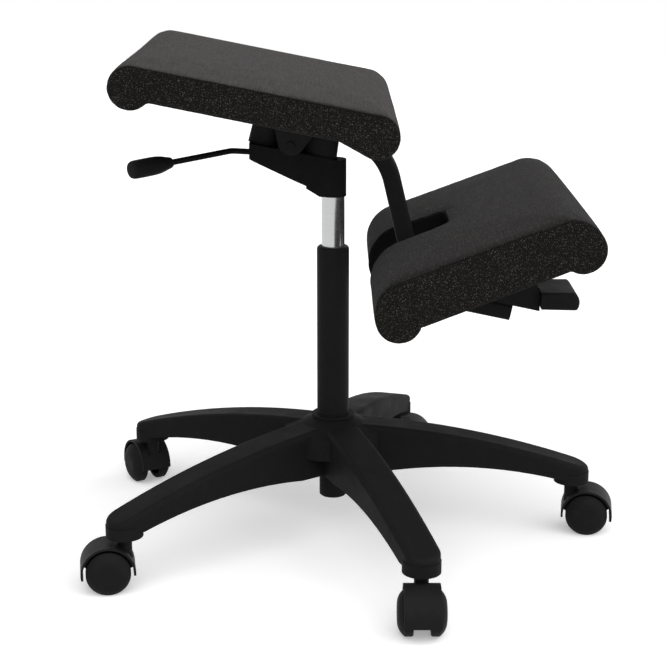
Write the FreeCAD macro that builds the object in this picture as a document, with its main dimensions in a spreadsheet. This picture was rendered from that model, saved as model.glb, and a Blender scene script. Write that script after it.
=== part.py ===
import FreeCAD, Part
import math
import os
import Sketcher

# A kneeling chair: sloped seat and knee pad on one bent bar, gas lift, five-star base on twin castors.
# Millimetres. The origin is the column axis on the floor, +X the way the sitter faces, +Z up.

SIZES = (
    # five-star base
    ("arm_count", 5, "arms of the base"),
    ("arm_turn", -71.2, "angle of the first arm from +X"),
    ("stem_circle", 300, "radius of the circle of castor stems"),
    ("boss_radius", 21.75, "round end of an arm"),
    ("boss_foot", 65, "height of the underside of an arm's end"),
    ("boss_depth", 14, "height of the round boss under an arm's end"),
    ("arm_half", 20.3, "half width of an arm at the height of its boss's foot"),
    ("arm_draft", 2, "moulding draft of an arm's sides"),
    ("arm_root_top", 149, "height of an arm's top line at the axis"),
    ("arm_tip_top", 85.3, "height of an arm's top line at its end"),
    ("arm_crown", 12, "rise of the top line above its chord"),
    ("arm_belly_root", 85.5, "height of an arm's lower edge beside the hub"),
    ("arm_belly_tip", 72.3, "height of an arm's lower edge beside its boss"),
    ("arm_arch", 11.3, "rise of the lower edge above its chord"),
    ("arm_wall", 5, "wall of an arm"),
    ("arm_channel_half", 16.5, "half width of the channel under an arm"),
    ("arm_round", 6, "rounding along an arm's top edges"),
    ("hub_radius", 60, "radius of the webs between the arms"),
    ("hub_rim", 138, "height of the webs' upper edge"),
    ("hub_skirt", 26, "height of the webs"),
    ("hub_foot", 84, "height of the lower end of the hub's socket"),
    ("hub_crown", 3, "rise of the hub's cone above the arms at the collar"),
    ("collar_radius", 26, "ring round the tube"),
    ("collar_height", 7.5, "height of that ring"),
    ("socket_wall", 9, "wall of the hub's socket"),
    # gas lift
    ("tube_radius", 19.6, "outer tube"),
    ("tube_foot_radius", 17, "outer tube at its tapered foot"),
    ("tube_wall", 2, "wall of the outer tube"),
    ("tube_foot", 49, "height of the tube's lower end"),
    ("tube_top", 365, "height of the tube's upper end"),
    ("tube_floor", 4, "bottom plate of the tube"),
    ("bush_length", 90, "length of the guide bush in the tube"),
    ("bush_lip", 3, "lip of the guide bush above the tube"),
    ("lift_radius", 14, "chromed cylinder"),
    ("lift_bore", 11.5, "bore of the cylinder"),
    ("lift_foot", 225, "height of the cylinder's lower end"),
    ("lift_cap", 10, "thickness of the cylinder's lower cap"),
    ("lift_crown", 27, "solid upper end of the cylinder"),
    ("taper_drop", 1, "loss of radius along the upper taper"),
    ("rod_radius", 5, "piston rod"),
    ("piston_foot", 305, "height of the piston's underside"),
    ("piston_height", 15, "height of the piston"),
    ("bearing_radius", 12, "thrust bearing"),
    ("bearing_height", 6, "thrust bearing"),
    ("bump_radius", 11, "rubber bump stop on the rod"),
    ("bump_height", 26, "rubber bump stop on the rod"),
    ("clip_radius", 9.5, "clip that holds the rod"),
    ("clip_height", 1.2, "clip that holds the rod"),
    # castors
    ("wheel_radius", 26, "castor wheel"),
    ("wheel_gap_half", 9.7, "from a castor's middle to a wheel's inner face"),
    ("tread_width", 10.6, "flat tread of a wheel"),
    ("wheel_dome", 7, "bulge of a wheel's outer face"),
    ("wheel_recess", 7, "depth of the recess in a wheel's inner face"),
    ("castor_trail", 20.5, "from the stem axis to the axle"),
    ("axle_radius", 3, "castor axle"),
    ("axle_reach", 23, "half length of the axle"),
    ("hood_gap", 3.2, "from tread to hood"),
    ("hood_wall", 2.6, "wall of the hood"),
    ("hood_sweep", 198, "angle that the hood covers"),
    ("hood_lean", 3, "lean of the hood towards the trailing side"),
    ("web_half", 8.7, "half thickness of the web between the wheels"),
    ("post_radius", 8.2, "neck of the hood round the stem"),
    ("stem_radius", 5.5, "castor stem"),
    ("stem_socket", 19, "depth of the stem in the arm"),
    ("stem_drop", 22, "depth of the stem in the hood"),
    # mechanism
    ("housing_foot", -97, "housing's underside at the column, from the seat's underside up"),
    ("housing_half", 23, "half width of the housing"),
    ("housing_nose", 16, "radius of the housing's nose round the column"),
    ("housing_rear", 99, "from the column back to the housing's rear face"),
    ("housing_rear_foot", -52.5, "housing's underside at the rear, from the seat's underside up"),
    ("housing_step", 32, "from the column back to the step in the underside"),
    ("housing_step_top", -82.2, "housing's underside at that step, from the seat's underside up"),
    ("housing_step_drop", 3, "height of that step"),
    ("housing_clear", 50, "from the seat's underside down to the housing's top"),
    ("socket_height", 22.5, "height of the taper socket"),
    ("pivot_back", 50, "from the column back to the tilt pin"),
    ("pivot_height", -33.5, "tilt pin, from the seat's underside up"),
    ("pivot_radius", 5, "tilt pin"),
    ("lug_radius", 11, "lugs round the tilt pin"),
    ("channel_half", 7, "half width of the lever's channel"),
    ("buffer_near", 15, "from the tilt pin to the near end of a buffer along the seat"),
    ("buffer_rear", 50.5, "from the tilt pin back to the far end of the rear buffer"),
    ("buffer_front", 57, "from the tilt pin to the far end of the front buffer"),
    ("buffer_half", 15, "half width of the buffers"),
    ("buffer_lip", 1.2, "lip round a buffer's foot"),
    ("buffer_lip_height", 4, "height of that lip"),
    # height lever
    ("lever_radius", 3.5, "lever rod"),
    ("lever_bend", 14, "bend radius of the lever rod"),
    ("fulcrum_back", 38, "from the column back to the lever's pin"),
    ("fulcrum_height", -58, "lever's pin, from the seat's underside up"),
    ("fulcrum_radius", 2.5, "lever's pin"),
    ("fulcrum_eye", 6, "eye of the lever"),
    ("lever_nose_height", -64.5, "lever over the release pin, from the seat's underside up"),
    ("lever_exit_height", -44.5, "lever at the housing's rear face, from the seat's underside up"),
    ("lever_knee", 121, "from the column back to the lever's bend"),
    ("lever_out_x", 66, "run of the lever's arm to the rear"),
    ("lever_out_y", 58.3, "run of the lever's arm to the sitter's right"),
    ("lever_out_drop", 4.7, "fall along that arm"),
    ("grip_length", 56, "lever handle"),
    ("grip_radius", 9.3, "lever handle at its wide end"),
    ("grip_neck", 5.7, "lever handle at the rod"),
    ("grip_round", 3, "rounding of the handle's ends"),
    ("release_radius", 2.5, "release pin"),
    ("release_length", 20, "release pin"),
    # seat
    ("seat_height", 526.5, "height of the seat's underside over the column"),
    ("seat_angle", 11.4, "fall of the seat to the front"),
    ("seat_width", 425, "seat cushion"),
    ("seat_rear", 221.5, "from the column back to the rear roll's middle"),
    ("seat_front", 46.5, "from the column to the front roll's middle"),
    ("seat_thickness", 36.5, "seat cushion at its seam"),
    ("seat_roll", 24, "radius of the rolled ends"),
    ("seat_hang", 12, "drop of the rolled ends below the underside"),
    ("seat_blend", 40, "length of the slope behind the front roll"),
    ("seat_rear_extra", -1.5, "extra thickness at the seat's rear"),
    ("seat_crown", 8, "rise of the middle above the seams"),
    ("pad_bulge", 1.5, "bulge of the cushions' ends in the middle"),
    ("board_thickness", 9, "plywood boards"),
    ("board_proud", 3, "boards below the cushions' undersides"),
    ("seat_board_rear", 32, "board's rear edge in from the rear roll's middle"),
    ("seat_board_front", 40, "board's front edge in from the front roll's middle"),
    ("board_margin", 28, "from a cushion's seam in to its board"),
    ("plate_thickness", 4, "seat bracket's plate"),
    ("plate_half", 31, "half width of the seat bracket's plate"),
    ("plate_rear", 91, "from the column back to the plate's rear end"),
    ("plate_front", 12, "from the column to the plate's front end"),
    ("ear_thickness", 4, "ears of the seat bracket"),
    ("ear_rear", 32, "ear behind the tilt pin at the plate"),
    ("ear_tip", 15, "half width of an ear at the tilt pin"),
    ("ear_front", 36, "ear in front of the tilt pin at the plate"),
    ("screw_radius", 3, "cushion screws"),
    ("screw_head", 5.5, "cushion screws' heads"),
    ("screw_head_height", 3, "cushion screws' heads"),
    # knee bar
    ("bar_width", 36, "bar across the chair"),
    ("bar_depth", 21.5, "bar in the side view"),
    ("bar_wall", 2.5, "wall of the bar"),
    ("bar_round", 6, "corner rounding of the bar"),
    ("bar_bend_upper", 76, "upper bend's radius at the middle of the bar"),
    ("bar_bend_lower", 80, "lower bend's radius at the middle of the bar"),
    ("bar_bend_start", 15.5, "from the column to the upper bend along the seat"),
    ("bar_steep", 76.6, "fall of the bar between the bends"),
    ("bar_drop", 189, "length of the steep run between the bends' corners"),
    ("rail_angle", 12, "fall of the lower rail"),
    ("rail_length", 113, "rail from the lower bend's corner to its end"),
    ("rail_slot_start", 62, "slot in the rail's top from the corner"),
    ("rail_slot_length", 44, "slot in the rail's top"),
    ("cap_flange", 2.5, "end cap of the rail"),
    ("cap_plug", 4, "end cap's plug"),
    # knee pad
    ("knee_x", 150, "reference point on the knee pad's underside"),
    ("knee_height", -185.5, "that point, from the seat's underside up"),
    ("knee_angle", 21.4, "rise of the knee pad to the front"),
    ("knee_width", 425, "knee cushion"),
    ("knee_rear", 76.5, "from the reference back to the rear roll's middle"),
    ("knee_front", 137, "from the reference to the front roll's middle"),
    ("knee_thickness", 54.5, "knee cushion at its seam"),
    ("knee_roll", 26, "radius of the rolled ends"),
    ("knee_hang", 9.5, "drop of the rolled ends below the underside"),
    ("knee_rear_extra", 3, "extra thickness at the knee pad's rear"),
    ("knee_crown", 8, "rise of the middle above the seams"),
    ("knee_board_rear", 22, "board's rear edge in from the rear roll's middle"),
    ("knee_board_front", 26, "board's front edge in from the front roll's middle"),
    ("knee_screw_start", 14, "first knee screws, from two heads past the slot's end"),
    ("knee_screw_pitch", 26, "between the two rows of knee screws"),
    ("knee_screw_edge", 7, "knee screws in from the carriage's wall"),
    ("slot_margin", 6, "room of the board's slot round the cushion's"),
    ("carriage_set_back", 4, "carriage's rear edge behind the slot's end"),
    ("slot_rear_half", 54, "half width of the slot at the rear"),
    ("slot_front_half", 39, "half width of the slot at its end"),
    ("slot_end", 11, "from the reference to the slot's end"),
    ("slot_round", 12, "rounding of the slot's corners"),
    ("carriage_half", 27, "half width of the carriage"),
    ("carriage_wall", 3, "sheet of the carriage"),
    ("carriage_start", 73, "carriage from the rail's corner"),
    ("carriage_reach", 147, "carriage's front end from the rail's corner"),
    ("carriage_lip", 22, "height of the carriage's front end"),
    ("carriage_top", 84, "carriage's front end under the board"),
    ("clamp_place", 88, "clamp bolt from the rail's corner"),
    ("clamp_radius", 4, "clamp bolt"),
    ("clamp_eye", 8, "eye of the clamp bolt"),
    ("clamp_pin_radius", 3.5, "clamp's pin"),
    ("clamp_rise", 30, "clamp's pin above the rail's middle line"),
    ("nut_length", 16, "nut in the rail"),
    ("nut_half", 11, "half width of the nut"),
    ("cam_radius", 15.6, "cam discs of the knee lever"),
    ("cam_width", 5, "cam discs of the knee lever"),
    ("strap_depth", 8, "strap of the knee lever"),
    ("paddle_start", 249.8, "from the column to the paddle's rear edge"),
    ("paddle_length", 45.5, "paddle"),
    ("paddle_half", 40, "half width of the paddle"),
    ("paddle_foot", -228.5, "paddle's underside, from the seat's underside up"),
    ("paddle_depth", 20, "paddle"),
    ("paddle_round", 7, "rounding of the paddle"),
    # clearances
    ("press_clear", 0.02, "radial room of pieces that are pressed together"),
    ("run_clear", 0.06, "radial room of pieces that turn or slide"),
    ("lay_clear", 0.3, "room between pieces that pass each other"),
)

# Heights that ride on the lift with the seat.
FROM_SEAT = (
    "housing_foot",
    "housing_rear_foot",
    "housing_step_top",
    "pivot_height",
    "fulcrum_height",
    "lever_nose_height",
    "lever_exit_height",
    "knee_height",
    "paddle_foot",
)

# Where each castor trails to, in degrees from +X, in the order of the arms.
TRAIL_TURNS = (-90, -8.5, 0, 121, 189)


class Term:
    """A size worked out from the sheet: its value now and the formula that keeps it true."""

    def __init__(self, value, formula):
        self.value = float(value)
        self.formula = formula

    def __add__(self, other):
        other = term(other)
        return Term(self.value + other.value, f"({self.formula} + {other.formula})")

    def __sub__(self, other):
        other = term(other)
        return Term(self.value - other.value, f"({self.formula} - {other.formula})")

    def __mul__(self, other):
        other = term(other)
        return Term(self.value * other.value, f"({self.formula} * {other.formula})")

    def __truediv__(self, other):
        other = term(other)
        return Term(self.value / other.value, f"({self.formula} / {other.formula})")

    def __neg__(self):
        return Term(-self.value, f"(-1 * {self.formula})")

    __radd__ = __add__
    __rmul__ = __mul__

    def __rsub__(self, other):
        return term(other) - self


def term(number):
    return number if isinstance(number, Term) else Term(number, f"({number})")


def sine(angle):
    return Term(math.sin(math.radians(angle.value)), f"sin({angle.formula})")


def cosine(angle):
    return Term(math.cos(math.radians(angle.value)), f"cos({angle.formula})")


def tangent(angle):
    return sine(angle) / cosine(angle)


class Sizes:
    """The sheet's cells as terms, by name."""

    def __init__(self, document):
        sheet = document.addObject("Spreadsheet::Sheet", "Sizes")
        for row, (name, value, note) in enumerate(SIZES, start=1):
            sheet.set(f"A{row}", note)
            sheet.set(f"B{row}", str(value))
            sheet.setAlias(f"B{row}", name)
        document.recompute()
        for name, value, note in SIZES:
            setattr(self, name, Term(sheet.get(name), f"Sizes.{name}"))


doc = FreeCAD.newDocument("KneelingChair")
size = Sizes(doc)
for ride in FROM_SEAT:
    setattr(size, ride, size.seat_height + getattr(size, ride))
vector = FreeCAD.Vector
ACROSS = vector(0, 1, 0)
UPWARD = vector(0, 0, 1)
sub_parts = []


# Helpers for sketches and features


def bind(thing, prop, amount):
    thing.setExpression(prop, term(amount).formula)


def register(thing, node):
    thing.Label = node
    sub_parts.append(thing)
    return thing


def new_body(node):
    return register(doc.addObject("PartDesign::Body", "Body_" + node), node)


def place(thing, x=0, y=0, z=0, axis=UPWARD, angle=0):
    """Put a sub-part at its place in the chair, bound to the sheet."""
    spot = [term(amount) for amount in (x, y, z)]
    turn = term(angle)
    base = vector(*[amount.value for amount in spot])
    thing.Placement = FreeCAD.Placement(base, FreeCAD.Rotation(axis, turn.value))
    for letter, amount in zip("xyz", spot):
        bind(thing, ".Placement.Base." + letter, amount)
    if turn.value:
        bind(thing, ".Placement.Rotation.Angle", turn)


def new_sketch(body, role, offset=(0, 0, 0), tilt=0):
    plane = [feature for feature in body.Origin.OriginFeatures if feature.Role == role][0]
    sketch = body.newObject("Sketcher::SketchObject", body.Name + "_Sketch")
    sketch.AttachmentSupport = [(plane, "")]
    sketch.MapMode = "FlatFace"
    spot = [term(amount) for amount in offset]
    base = vector(*[amount.value for amount in spot])
    sketch.AttachmentOffset = FreeCAD.Placement(base, FreeCAD.Rotation(vector(1, 0, 0), term(tilt).value))
    for letter, amount in zip("xyz", spot):
        bind(sketch, "AttachmentOffset.Base." + letter, amount)
    return sketch


def fix_point(sketch, edge, end, x, y):
    for kind, amount in (("DistanceX", x), ("DistanceY", y)):
        index = sketch.addConstraint(Sketcher.Constraint(kind, edge, end, amount.value))
        bind(sketch, f"Constraints[{index}]", amount)


def outline(body, role, corners, offset=(0, 0, 0), tilt=0):
    """Closed sketch through corners (x, y) or (x, y, rise), where rise bows the next edge to its left."""
    sketch = new_sketch(body, role, offset, tilt)
    points = [(term(corner[0]), term(corner[1])) for corner in corners]
    rises = [corner[2] if len(corner) > 2 else None for corner in corners]
    ends = []
    for index, rise in enumerate(rises):
        start = points[index]
        finish = points[(index + 1) % len(points)]
        if rise is None:
            edge = sketch.addGeometry(Part.LineSegment(flat(start), flat(finish)), False)
            ends.append((edge, 1, 2))
        else:
            ends.append(add_arc(sketch, start, finish, term(rise)))
    for index, (edge, first, last) in enumerate(ends):
        following = ends[(index + 1) % len(ends)]
        sketch.addConstraint(Sketcher.Constraint("Coincident", edge, last, following[0], following[1]))
        fix_point(sketch, edge, first, *points[index])
    return sketch


def flat(point):
    return vector(point[0].value, point[1].value, 0)


def add_arc(sketch, start, finish, rise):
    """Arc from start to finish that stands rise proud of its chord, on the left where rise is positive."""
    run_x = finish[0] - start[0]
    run_y = finish[1] - start[1]
    height = rise if rise.value > 0 else -rise
    radius = (run_x * run_x + run_y * run_y) / (8 * height) + height / 2
    a, b = flat(start), flat(finish)
    left = UPWARD.cross(b - a).normalize()
    side = 1 if rise.value > 0 else -1
    centre = (a + b) * 0.5 + left * (side * (height.value - radius.value))
    circle = Part.Circle(centre, UPWARD, radius.value)
    low, high = (b, a) if side > 0 else (a, b)
    angles = [math.atan2(p.y - centre.y, p.x - centre.x) for p in (low, high)]
    if angles[1] < angles[0]:
        angles[1] += 2 * math.pi
    edge = sketch.addGeometry(Part.ArcOfCircle(circle, *angles), False)
    index = sketch.addConstraint(Sketcher.Constraint("Radius", edge, radius.value))
    bind(sketch, f"Constraints[{index}]", radius)
    return (edge, 2, 1) if side > 0 else (edge, 1, 2)


def disc(body, role, spots, radius, offset=(0, 0, 0)):
    """Sketch of equal circles at spots (x, y)."""
    sketch = new_sketch(body, role, offset)
    for x, y in spots:
        x, y, radius = term(x), term(y), term(radius)
        circle = Part.Circle(vector(x.value, y.value, 0), UPWARD, radius.value)
        edge = sketch.addGeometry(circle, False)
        fix_point(sketch, edge, 3, x, y)
        index = sketch.addConstraint(Sketcher.Constraint("Radius", edge, radius.value))
        bind(sketch, f"Constraints[{index}]", radius)
    return sketch


def feature(body, kind, sketch, length, symmetric, backward):
    made = body.newObject("PartDesign::" + kind, body.Name + "_" + kind)
    made.Profile = sketch
    made.Length = term(length).value
    bind(made, "Length", length)
    made.SideType = "Symmetric" if symmetric else "One side"
    made.Reversed = backward
    return made


def pad(body, sketch, length, symmetric=False, backward=False):
    return feature(body, "Pad", sketch, length, symmetric, backward)


def pocket(body, sketch, length, symmetric=False, backward=False):
    """Cut a sketch out of the body, and make sure that the cut takes something away."""
    doc.recompute()
    before = body.Shape.Volume
    made = feature(body, "Pocket", sketch, length, symmetric, backward)
    doc.recompute()
    if body.Shape.Volume > before - 1e-6:
        raise ValueError(f"a pocket of {body.Label} cuts nothing")
    return made


def revolve(body, sketch, axis="V_Axis", angle=360, symmetric=False):
    made = body.newObject("PartDesign::Revolution", body.Name + "_Revolution")
    made.Profile = sketch
    made.ReferenceAxis = (sketch, [axis])
    made.Midplane = symmetric
    made.Angle = term(angle).value
    bind(made, "Angle", angle)
    return made


def groove(body, sketch, axis="V_Axis"):
    made = body.newObject("PartDesign::Groove", body.Name + "_Groove")
    made.Profile = sketch
    made.ReferenceAxis = (sketch, [axis])
    made.Angle = 360
    return made


def round_edges(body, radius, chosen):
    """Fillet the edges of the body's last feature that the test picks."""
    doc.recompute()
    last = body.Tip
    edges = enumerate(last.Shape.Edges, start=1)
    names = [f"Edge{index}" for index, edge in edges if chosen(edge)]
    made = body.newObject("PartDesign::Fillet", body.Name + "_Fillet")
    made.Base = (last, names)
    made.Radius = term(radius).value
    bind(made, "Radius", radius)
    return made


def turned(node, corners, axis="V_Axis", role="XZ_Plane", offset=(0, 0, 0)):
    """A round piece: half its section turned about an axis of its sketch."""
    body = new_body(node)
    revolve(body, outline(body, role, corners, offset), axis)
    return body


def solid_feature(node, shape, placement=None):
    """A sub-part whose shape is set directly, for forms that sketches and pads can't give."""
    thing = register(doc.addObject("Part::Feature", "Form_" + node), node)
    thing.Shape = shape
    if placement:
        thing.Placement = placement
    return thing


def box_between(low, high):
    """Block between two corners."""
    return Part.makeBox(*[b - a for a, b in zip(low, high)], vector(*low))


# Frames of the seat, the rail and the knee pad


def seat_point(along, above):
    """World (x, z) of a point given along the seat and above its underside."""
    x = along * cosine(size.seat_angle) + above * sine(size.seat_angle)
    z = size.seat_height - along * sine(size.seat_angle) + above * cosine(size.seat_angle)
    return x, z


def seat_along(x, z):
    """Place along the seat, and above its underside, of a world point."""
    rise = z - size.seat_height
    along = x * cosine(size.seat_angle) - rise * sine(size.seat_angle)
    above = x * sine(size.seat_angle) + rise * cosine(size.seat_angle)
    return along, above


def seat_top_of(x, above):
    """World height at x of the plane that lies above the seat's underside."""
    return size.seat_height + (above - x * sine(size.seat_angle)) / cosine(size.seat_angle)


def place_on_seat(thing):
    place(thing, z=size.seat_height, axis=ACROSS, angle=size.seat_angle)


def place_on_rail(thing):
    corner_x, corner_z = rail_corner()
    place(thing, x=corner_x, z=corner_z, axis=ACROSS, angle=size.rail_angle)


def seat_frame():
    return FreeCAD.Placement(
        vector(0, 0, size.seat_height.value), FreeCAD.Rotation(ACROSS, size.seat_angle.value)
    )


def knee_frame():
    return FreeCAD.Placement(
        vector(size.knee_x.value, 0, size.knee_height.value),
        FreeCAD.Rotation(ACROSS, -size.knee_angle.value),
    )


def rail_frame():
    corner_x, corner_z = rail_corner()
    return FreeCAD.Placement(
        vector(corner_x.value, 0, corner_z.value), FreeCAD.Rotation(ACROSS, size.rail_angle.value)
    )


def bar_depth_below_seat():
    """Middle line of the bar below the seat's underside."""
    return size.board_proud + size.plate_thickness + size.bar_depth / 2


def upper_corner():
    """World corner of the bar's upper bend, on its middle line."""
    half_turn = (size.bar_steep - size.seat_angle) / 2
    along = size.bar_bend_start + size.bar_bend_upper * tangent(half_turn)
    return seat_point(along, -bar_depth_below_seat())


def rail_corner():
    """World corner of the bar's lower bend, on its middle line."""
    x, z = upper_corner()
    return x + size.bar_drop * cosine(size.bar_steep), z - size.bar_drop * sine(size.bar_steep)


def pivot_in_seat():
    return seat_along(-size.pivot_back, size.pivot_height)


def knee_to_rail(along, above):
    """Place along the rail, and above its middle line, of a point of the knee pad's frame."""
    corner_x, corner_z = rail_corner()
    x = size.knee_x + along * cosine(size.knee_angle) - above * sine(size.knee_angle)
    z = size.knee_height + along * sine(size.knee_angle) + above * cosine(size.knee_angle)
    run = x - corner_x
    rise = z - corner_z
    on_rail = run * cosine(size.rail_angle) - rise * sine(size.rail_angle)
    over_rail = run * sine(size.rail_angle) + rise * cosine(size.rail_angle)
    return on_rail, over_rail


# Five-star base


def arm_end():
    return size.stem_circle + size.arm_half + 1


def arm_top(x):
    """Height of an arm's top line at a distance from the column."""
    share = x / arm_end()
    chord = size.arm_root_top + (size.arm_tip_top - size.arm_root_top) * share
    return chord + 4 * size.arm_crown * share * (1 - share)


def make_base():
    body = new_body("five_star_base")
    end = arm_end()
    bow = size.arm_half * (1 - math.sqrt(0.5))
    sky = size.arm_root_top + 3 * size.arm_crown
    floor = size.boss_foot
    root = size.tube_radius
    plan = (
        (root, -size.arm_half),
        (size.stem_circle, -size.arm_half, -bow),
        (size.stem_circle + size.arm_half, 0, -bow),
        (size.stem_circle, size.arm_half),
        (root, size.arm_half),
    )
    arm = pad(body, outline(body, "XY_Plane", plan, (0, 0, floor)), sky - floor)
    arm.TaperAngle = size.arm_draft.value
    bind(arm, "TaperAngle", size.arm_draft)
    over = end + size.arm_half
    fall = arm_top(end)
    above_top = (
        (0, size.arm_root_top, size.arm_crown),
        (end, fall),
        (over, fall),
        (over, sky + floor),
        (0, sky + floor),
    )
    wide = 6 * size.arm_half
    pocket(body, outline(body, "XZ_Plane", above_top), wide, symmetric=True)
    belly_root = size.hub_radius + 2
    belly_tip = size.stem_circle - size.boss_radius * 0.7
    below_arm = (
        (0, 0),
        (0, size.arm_belly_root),
        (belly_root, size.arm_belly_root, size.arm_arch),
        (belly_tip, size.arm_belly_tip),
        (over, size.arm_belly_tip),
        (over, 0),
    )
    pocket(body, outline(body, "XZ_Plane", below_arm), wide, symmetric=True)

    def on_top(edge):
        middle = edge.valueAt((edge.FirstParameter + edge.LastParameter) / 2)
        close = abs(middle.z - arm_top(term(middle.x)).value) < 1.5
        return close and middle.x > root.value + 1

    round_edges(body, size.arm_round, on_top)
    boss = disc(body, "XY_Plane", [(size.stem_circle, 0)], size.boss_radius, (0, 0, floor))
    pad(body, boss, size.boss_depth)
    inner = size.hub_radius + size.arm_wall
    outer = size.stem_circle - size.boss_radius - size.arm_wall
    middle = (inner + outer) / 2
    for start, finish in ((inner, middle), (middle + size.arm_wall, outer)):
        channel = (
            (start, 0),
            (start, arm_top(start) - size.arm_wall),
            (finish, arm_top(finish) - size.arm_wall),
            (finish, 0),
        )
        pocket(body, outline(body, "XZ_Plane", channel), 2 * size.arm_channel_half, symmetric=True)
    socket = disc(
        body, "XY_Plane", [(size.stem_circle, 0)], size.stem_radius + size.press_clear, (0, 0, floor)
    )
    pocket(body, socket, size.stem_socket, backward=True)
    star = body.newObject("PartDesign::PolarPattern", body.Name + "_Star")
    star.TransformMode = "Whole shape"
    turn_axis = [line for line in body.Origin.OriginFeatures if line.Role == "Z_Axis"][0]
    star.Axis = (turn_axis, [""])
    star.Angle = 360
    star.Occurrences = int(size.arm_count.value)
    bind(star, "Occurrences", size.arm_count)
    body.Tip = star
    doc.recompute()
    wall = size.tube_radius + size.press_clear
    skirt_foot = size.hub_rim - size.hub_skirt
    core = size.tube_radius + size.socket_wall - 2
    hub = (
        (0, size.hub_foot),
        (core, size.hub_foot),
        (core, skirt_foot),
        (size.hub_radius, skirt_foot),
        (size.hub_radius, size.hub_rim),
        (size.collar_radius, size.arm_root_top + size.hub_crown),
        (size.collar_radius, size.arm_root_top + size.collar_height),
        (0, size.arm_root_top + size.collar_height),
    )
    revolve(body, outline(body, "XZ_Plane", hub))
    bore_top = size.arm_root_top + 2 * size.collar_height
    bore_foot = size.hub_foot - 2 * size.boss_depth
    bore = (
        (0, bore_foot),
        (size.tube_foot_radius + size.press_clear, bore_foot),
        (size.tube_foot_radius + size.press_clear, size.hub_foot),
        (wall, size.arm_root_top),
        (wall, bore_top),
        (0, bore_top),
    )
    groove(body, outline(body, "XZ_Plane", bore))
    place(body, angle=size.arm_turn)
    return body


# Gas lift


def bearing_foot():
    return size.tube_foot + size.tube_floor


def shoulder_foot():
    return bearing_foot() + size.bearing_height + size.run_clear


def make_gas_lift():
    foot_bore = size.tube_foot_radius - size.tube_wall
    bore = size.tube_radius - size.tube_wall
    rod_hole = size.rod_radius + 1.5
    lip = size.tube_radius - 0.5
    turned("gas_lift_tube", (
        (rod_hole, size.tube_foot),
        (size.tube_foot_radius - 1.5, size.tube_foot),
        (size.tube_foot_radius, size.tube_foot + 1.5),
        (size.tube_foot_radius, size.hub_foot),
        (size.tube_radius, size.arm_root_top),
        (size.tube_radius, size.tube_top),
        (bore, size.tube_top),
        (bore, size.arm_root_top),
        (foot_bore, size.hub_foot),
        (foot_bore, bearing_foot()),
        (rod_hole, bearing_foot()),
    ))
    guide = size.lift_radius + size.run_clear
    turned("guide_bush", (
        (guide, size.tube_top - size.bush_length),
        (bore - size.press_clear, size.tube_top - size.bush_length),
        (bore - size.press_clear, size.tube_top),
        (lip, size.tube_top),
        (lip, size.tube_top + size.bush_lip / 2),
        (lip - size.bush_lip / 2, size.tube_top + size.bush_lip),
        (guide, size.tube_top + size.bush_lip),
    ))
    turned("thrust_bearing", (
        (size.rod_radius + size.run_clear, bearing_foot()),
        (size.bearing_radius, bearing_foot()),
        (size.bearing_radius, bearing_foot() + size.bearing_height),
        (size.rod_radius + size.run_clear, bearing_foot() + size.bearing_height),
    ))
    clip_top = size.tube_foot - size.run_clear
    groove_radius = size.rod_radius - 0.8
    turned("retaining_clip", (
        (groove_radius + size.press_clear, clip_top - size.clip_height),
        (size.clip_radius, clip_top - size.clip_height),
        (size.clip_radius, clip_top),
        (groove_radius + size.press_clear, clip_top),
    ))
    shoulder = size.rod_radius + 4
    shoulder_top = shoulder_foot() + 2
    piston_radius = size.lift_bore - size.run_clear
    piston_top = size.piston_foot + size.piston_height
    turned("piston_rod", (
        (0, clip_top - size.clip_height - 2),
        (size.rod_radius, clip_top - size.clip_height - 2),
        (size.rod_radius, clip_top - size.clip_height),
        (groove_radius, clip_top - size.clip_height),
        (groove_radius, clip_top),
        (size.rod_radius, clip_top),
        (size.rod_radius, shoulder_foot()),
        (shoulder, shoulder_foot()),
        (shoulder, shoulder_top),
        (size.rod_radius, shoulder_top),
        (size.rod_radius, size.piston_foot),
        (piston_radius, size.piston_foot),
        (piston_radius, piston_top),
        (0, piston_top),
    ))
    turned("bump_stop", (
        (size.rod_radius + size.press_clear, shoulder_top),
        (size.bump_radius, shoulder_top),
        (size.bump_radius, shoulder_top + size.bump_height / 2),
        (size.bump_radius - 3, shoulder_top + size.bump_height),
        (size.rod_radius + size.press_clear, shoulder_top + size.bump_height),
    ))
    lift_top = size.housing_foot + size.socket_height
    neck = size.lift_radius - size.taper_drop
    pin_hole = size.release_radius + size.run_clear
    turned("gas_cylinder", (
        (size.rod_radius + size.run_clear, size.lift_foot),
        (size.lift_radius - 1, size.lift_foot),
        (size.lift_radius, size.lift_foot + 1),
        (size.lift_radius, size.housing_foot),
        (neck, lift_top),
        (pin_hole, lift_top),
        (pin_hole, lift_top - size.release_length),
        (0, lift_top - size.release_length),
        (0, lift_top - size.lift_crown),
        (size.lift_bore, lift_top - size.lift_crown),
        (size.lift_bore, size.lift_foot + size.lift_cap),
        (size.rod_radius + size.run_clear, size.lift_foot + size.lift_cap),
    ))


# Castors, one per arm


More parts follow.
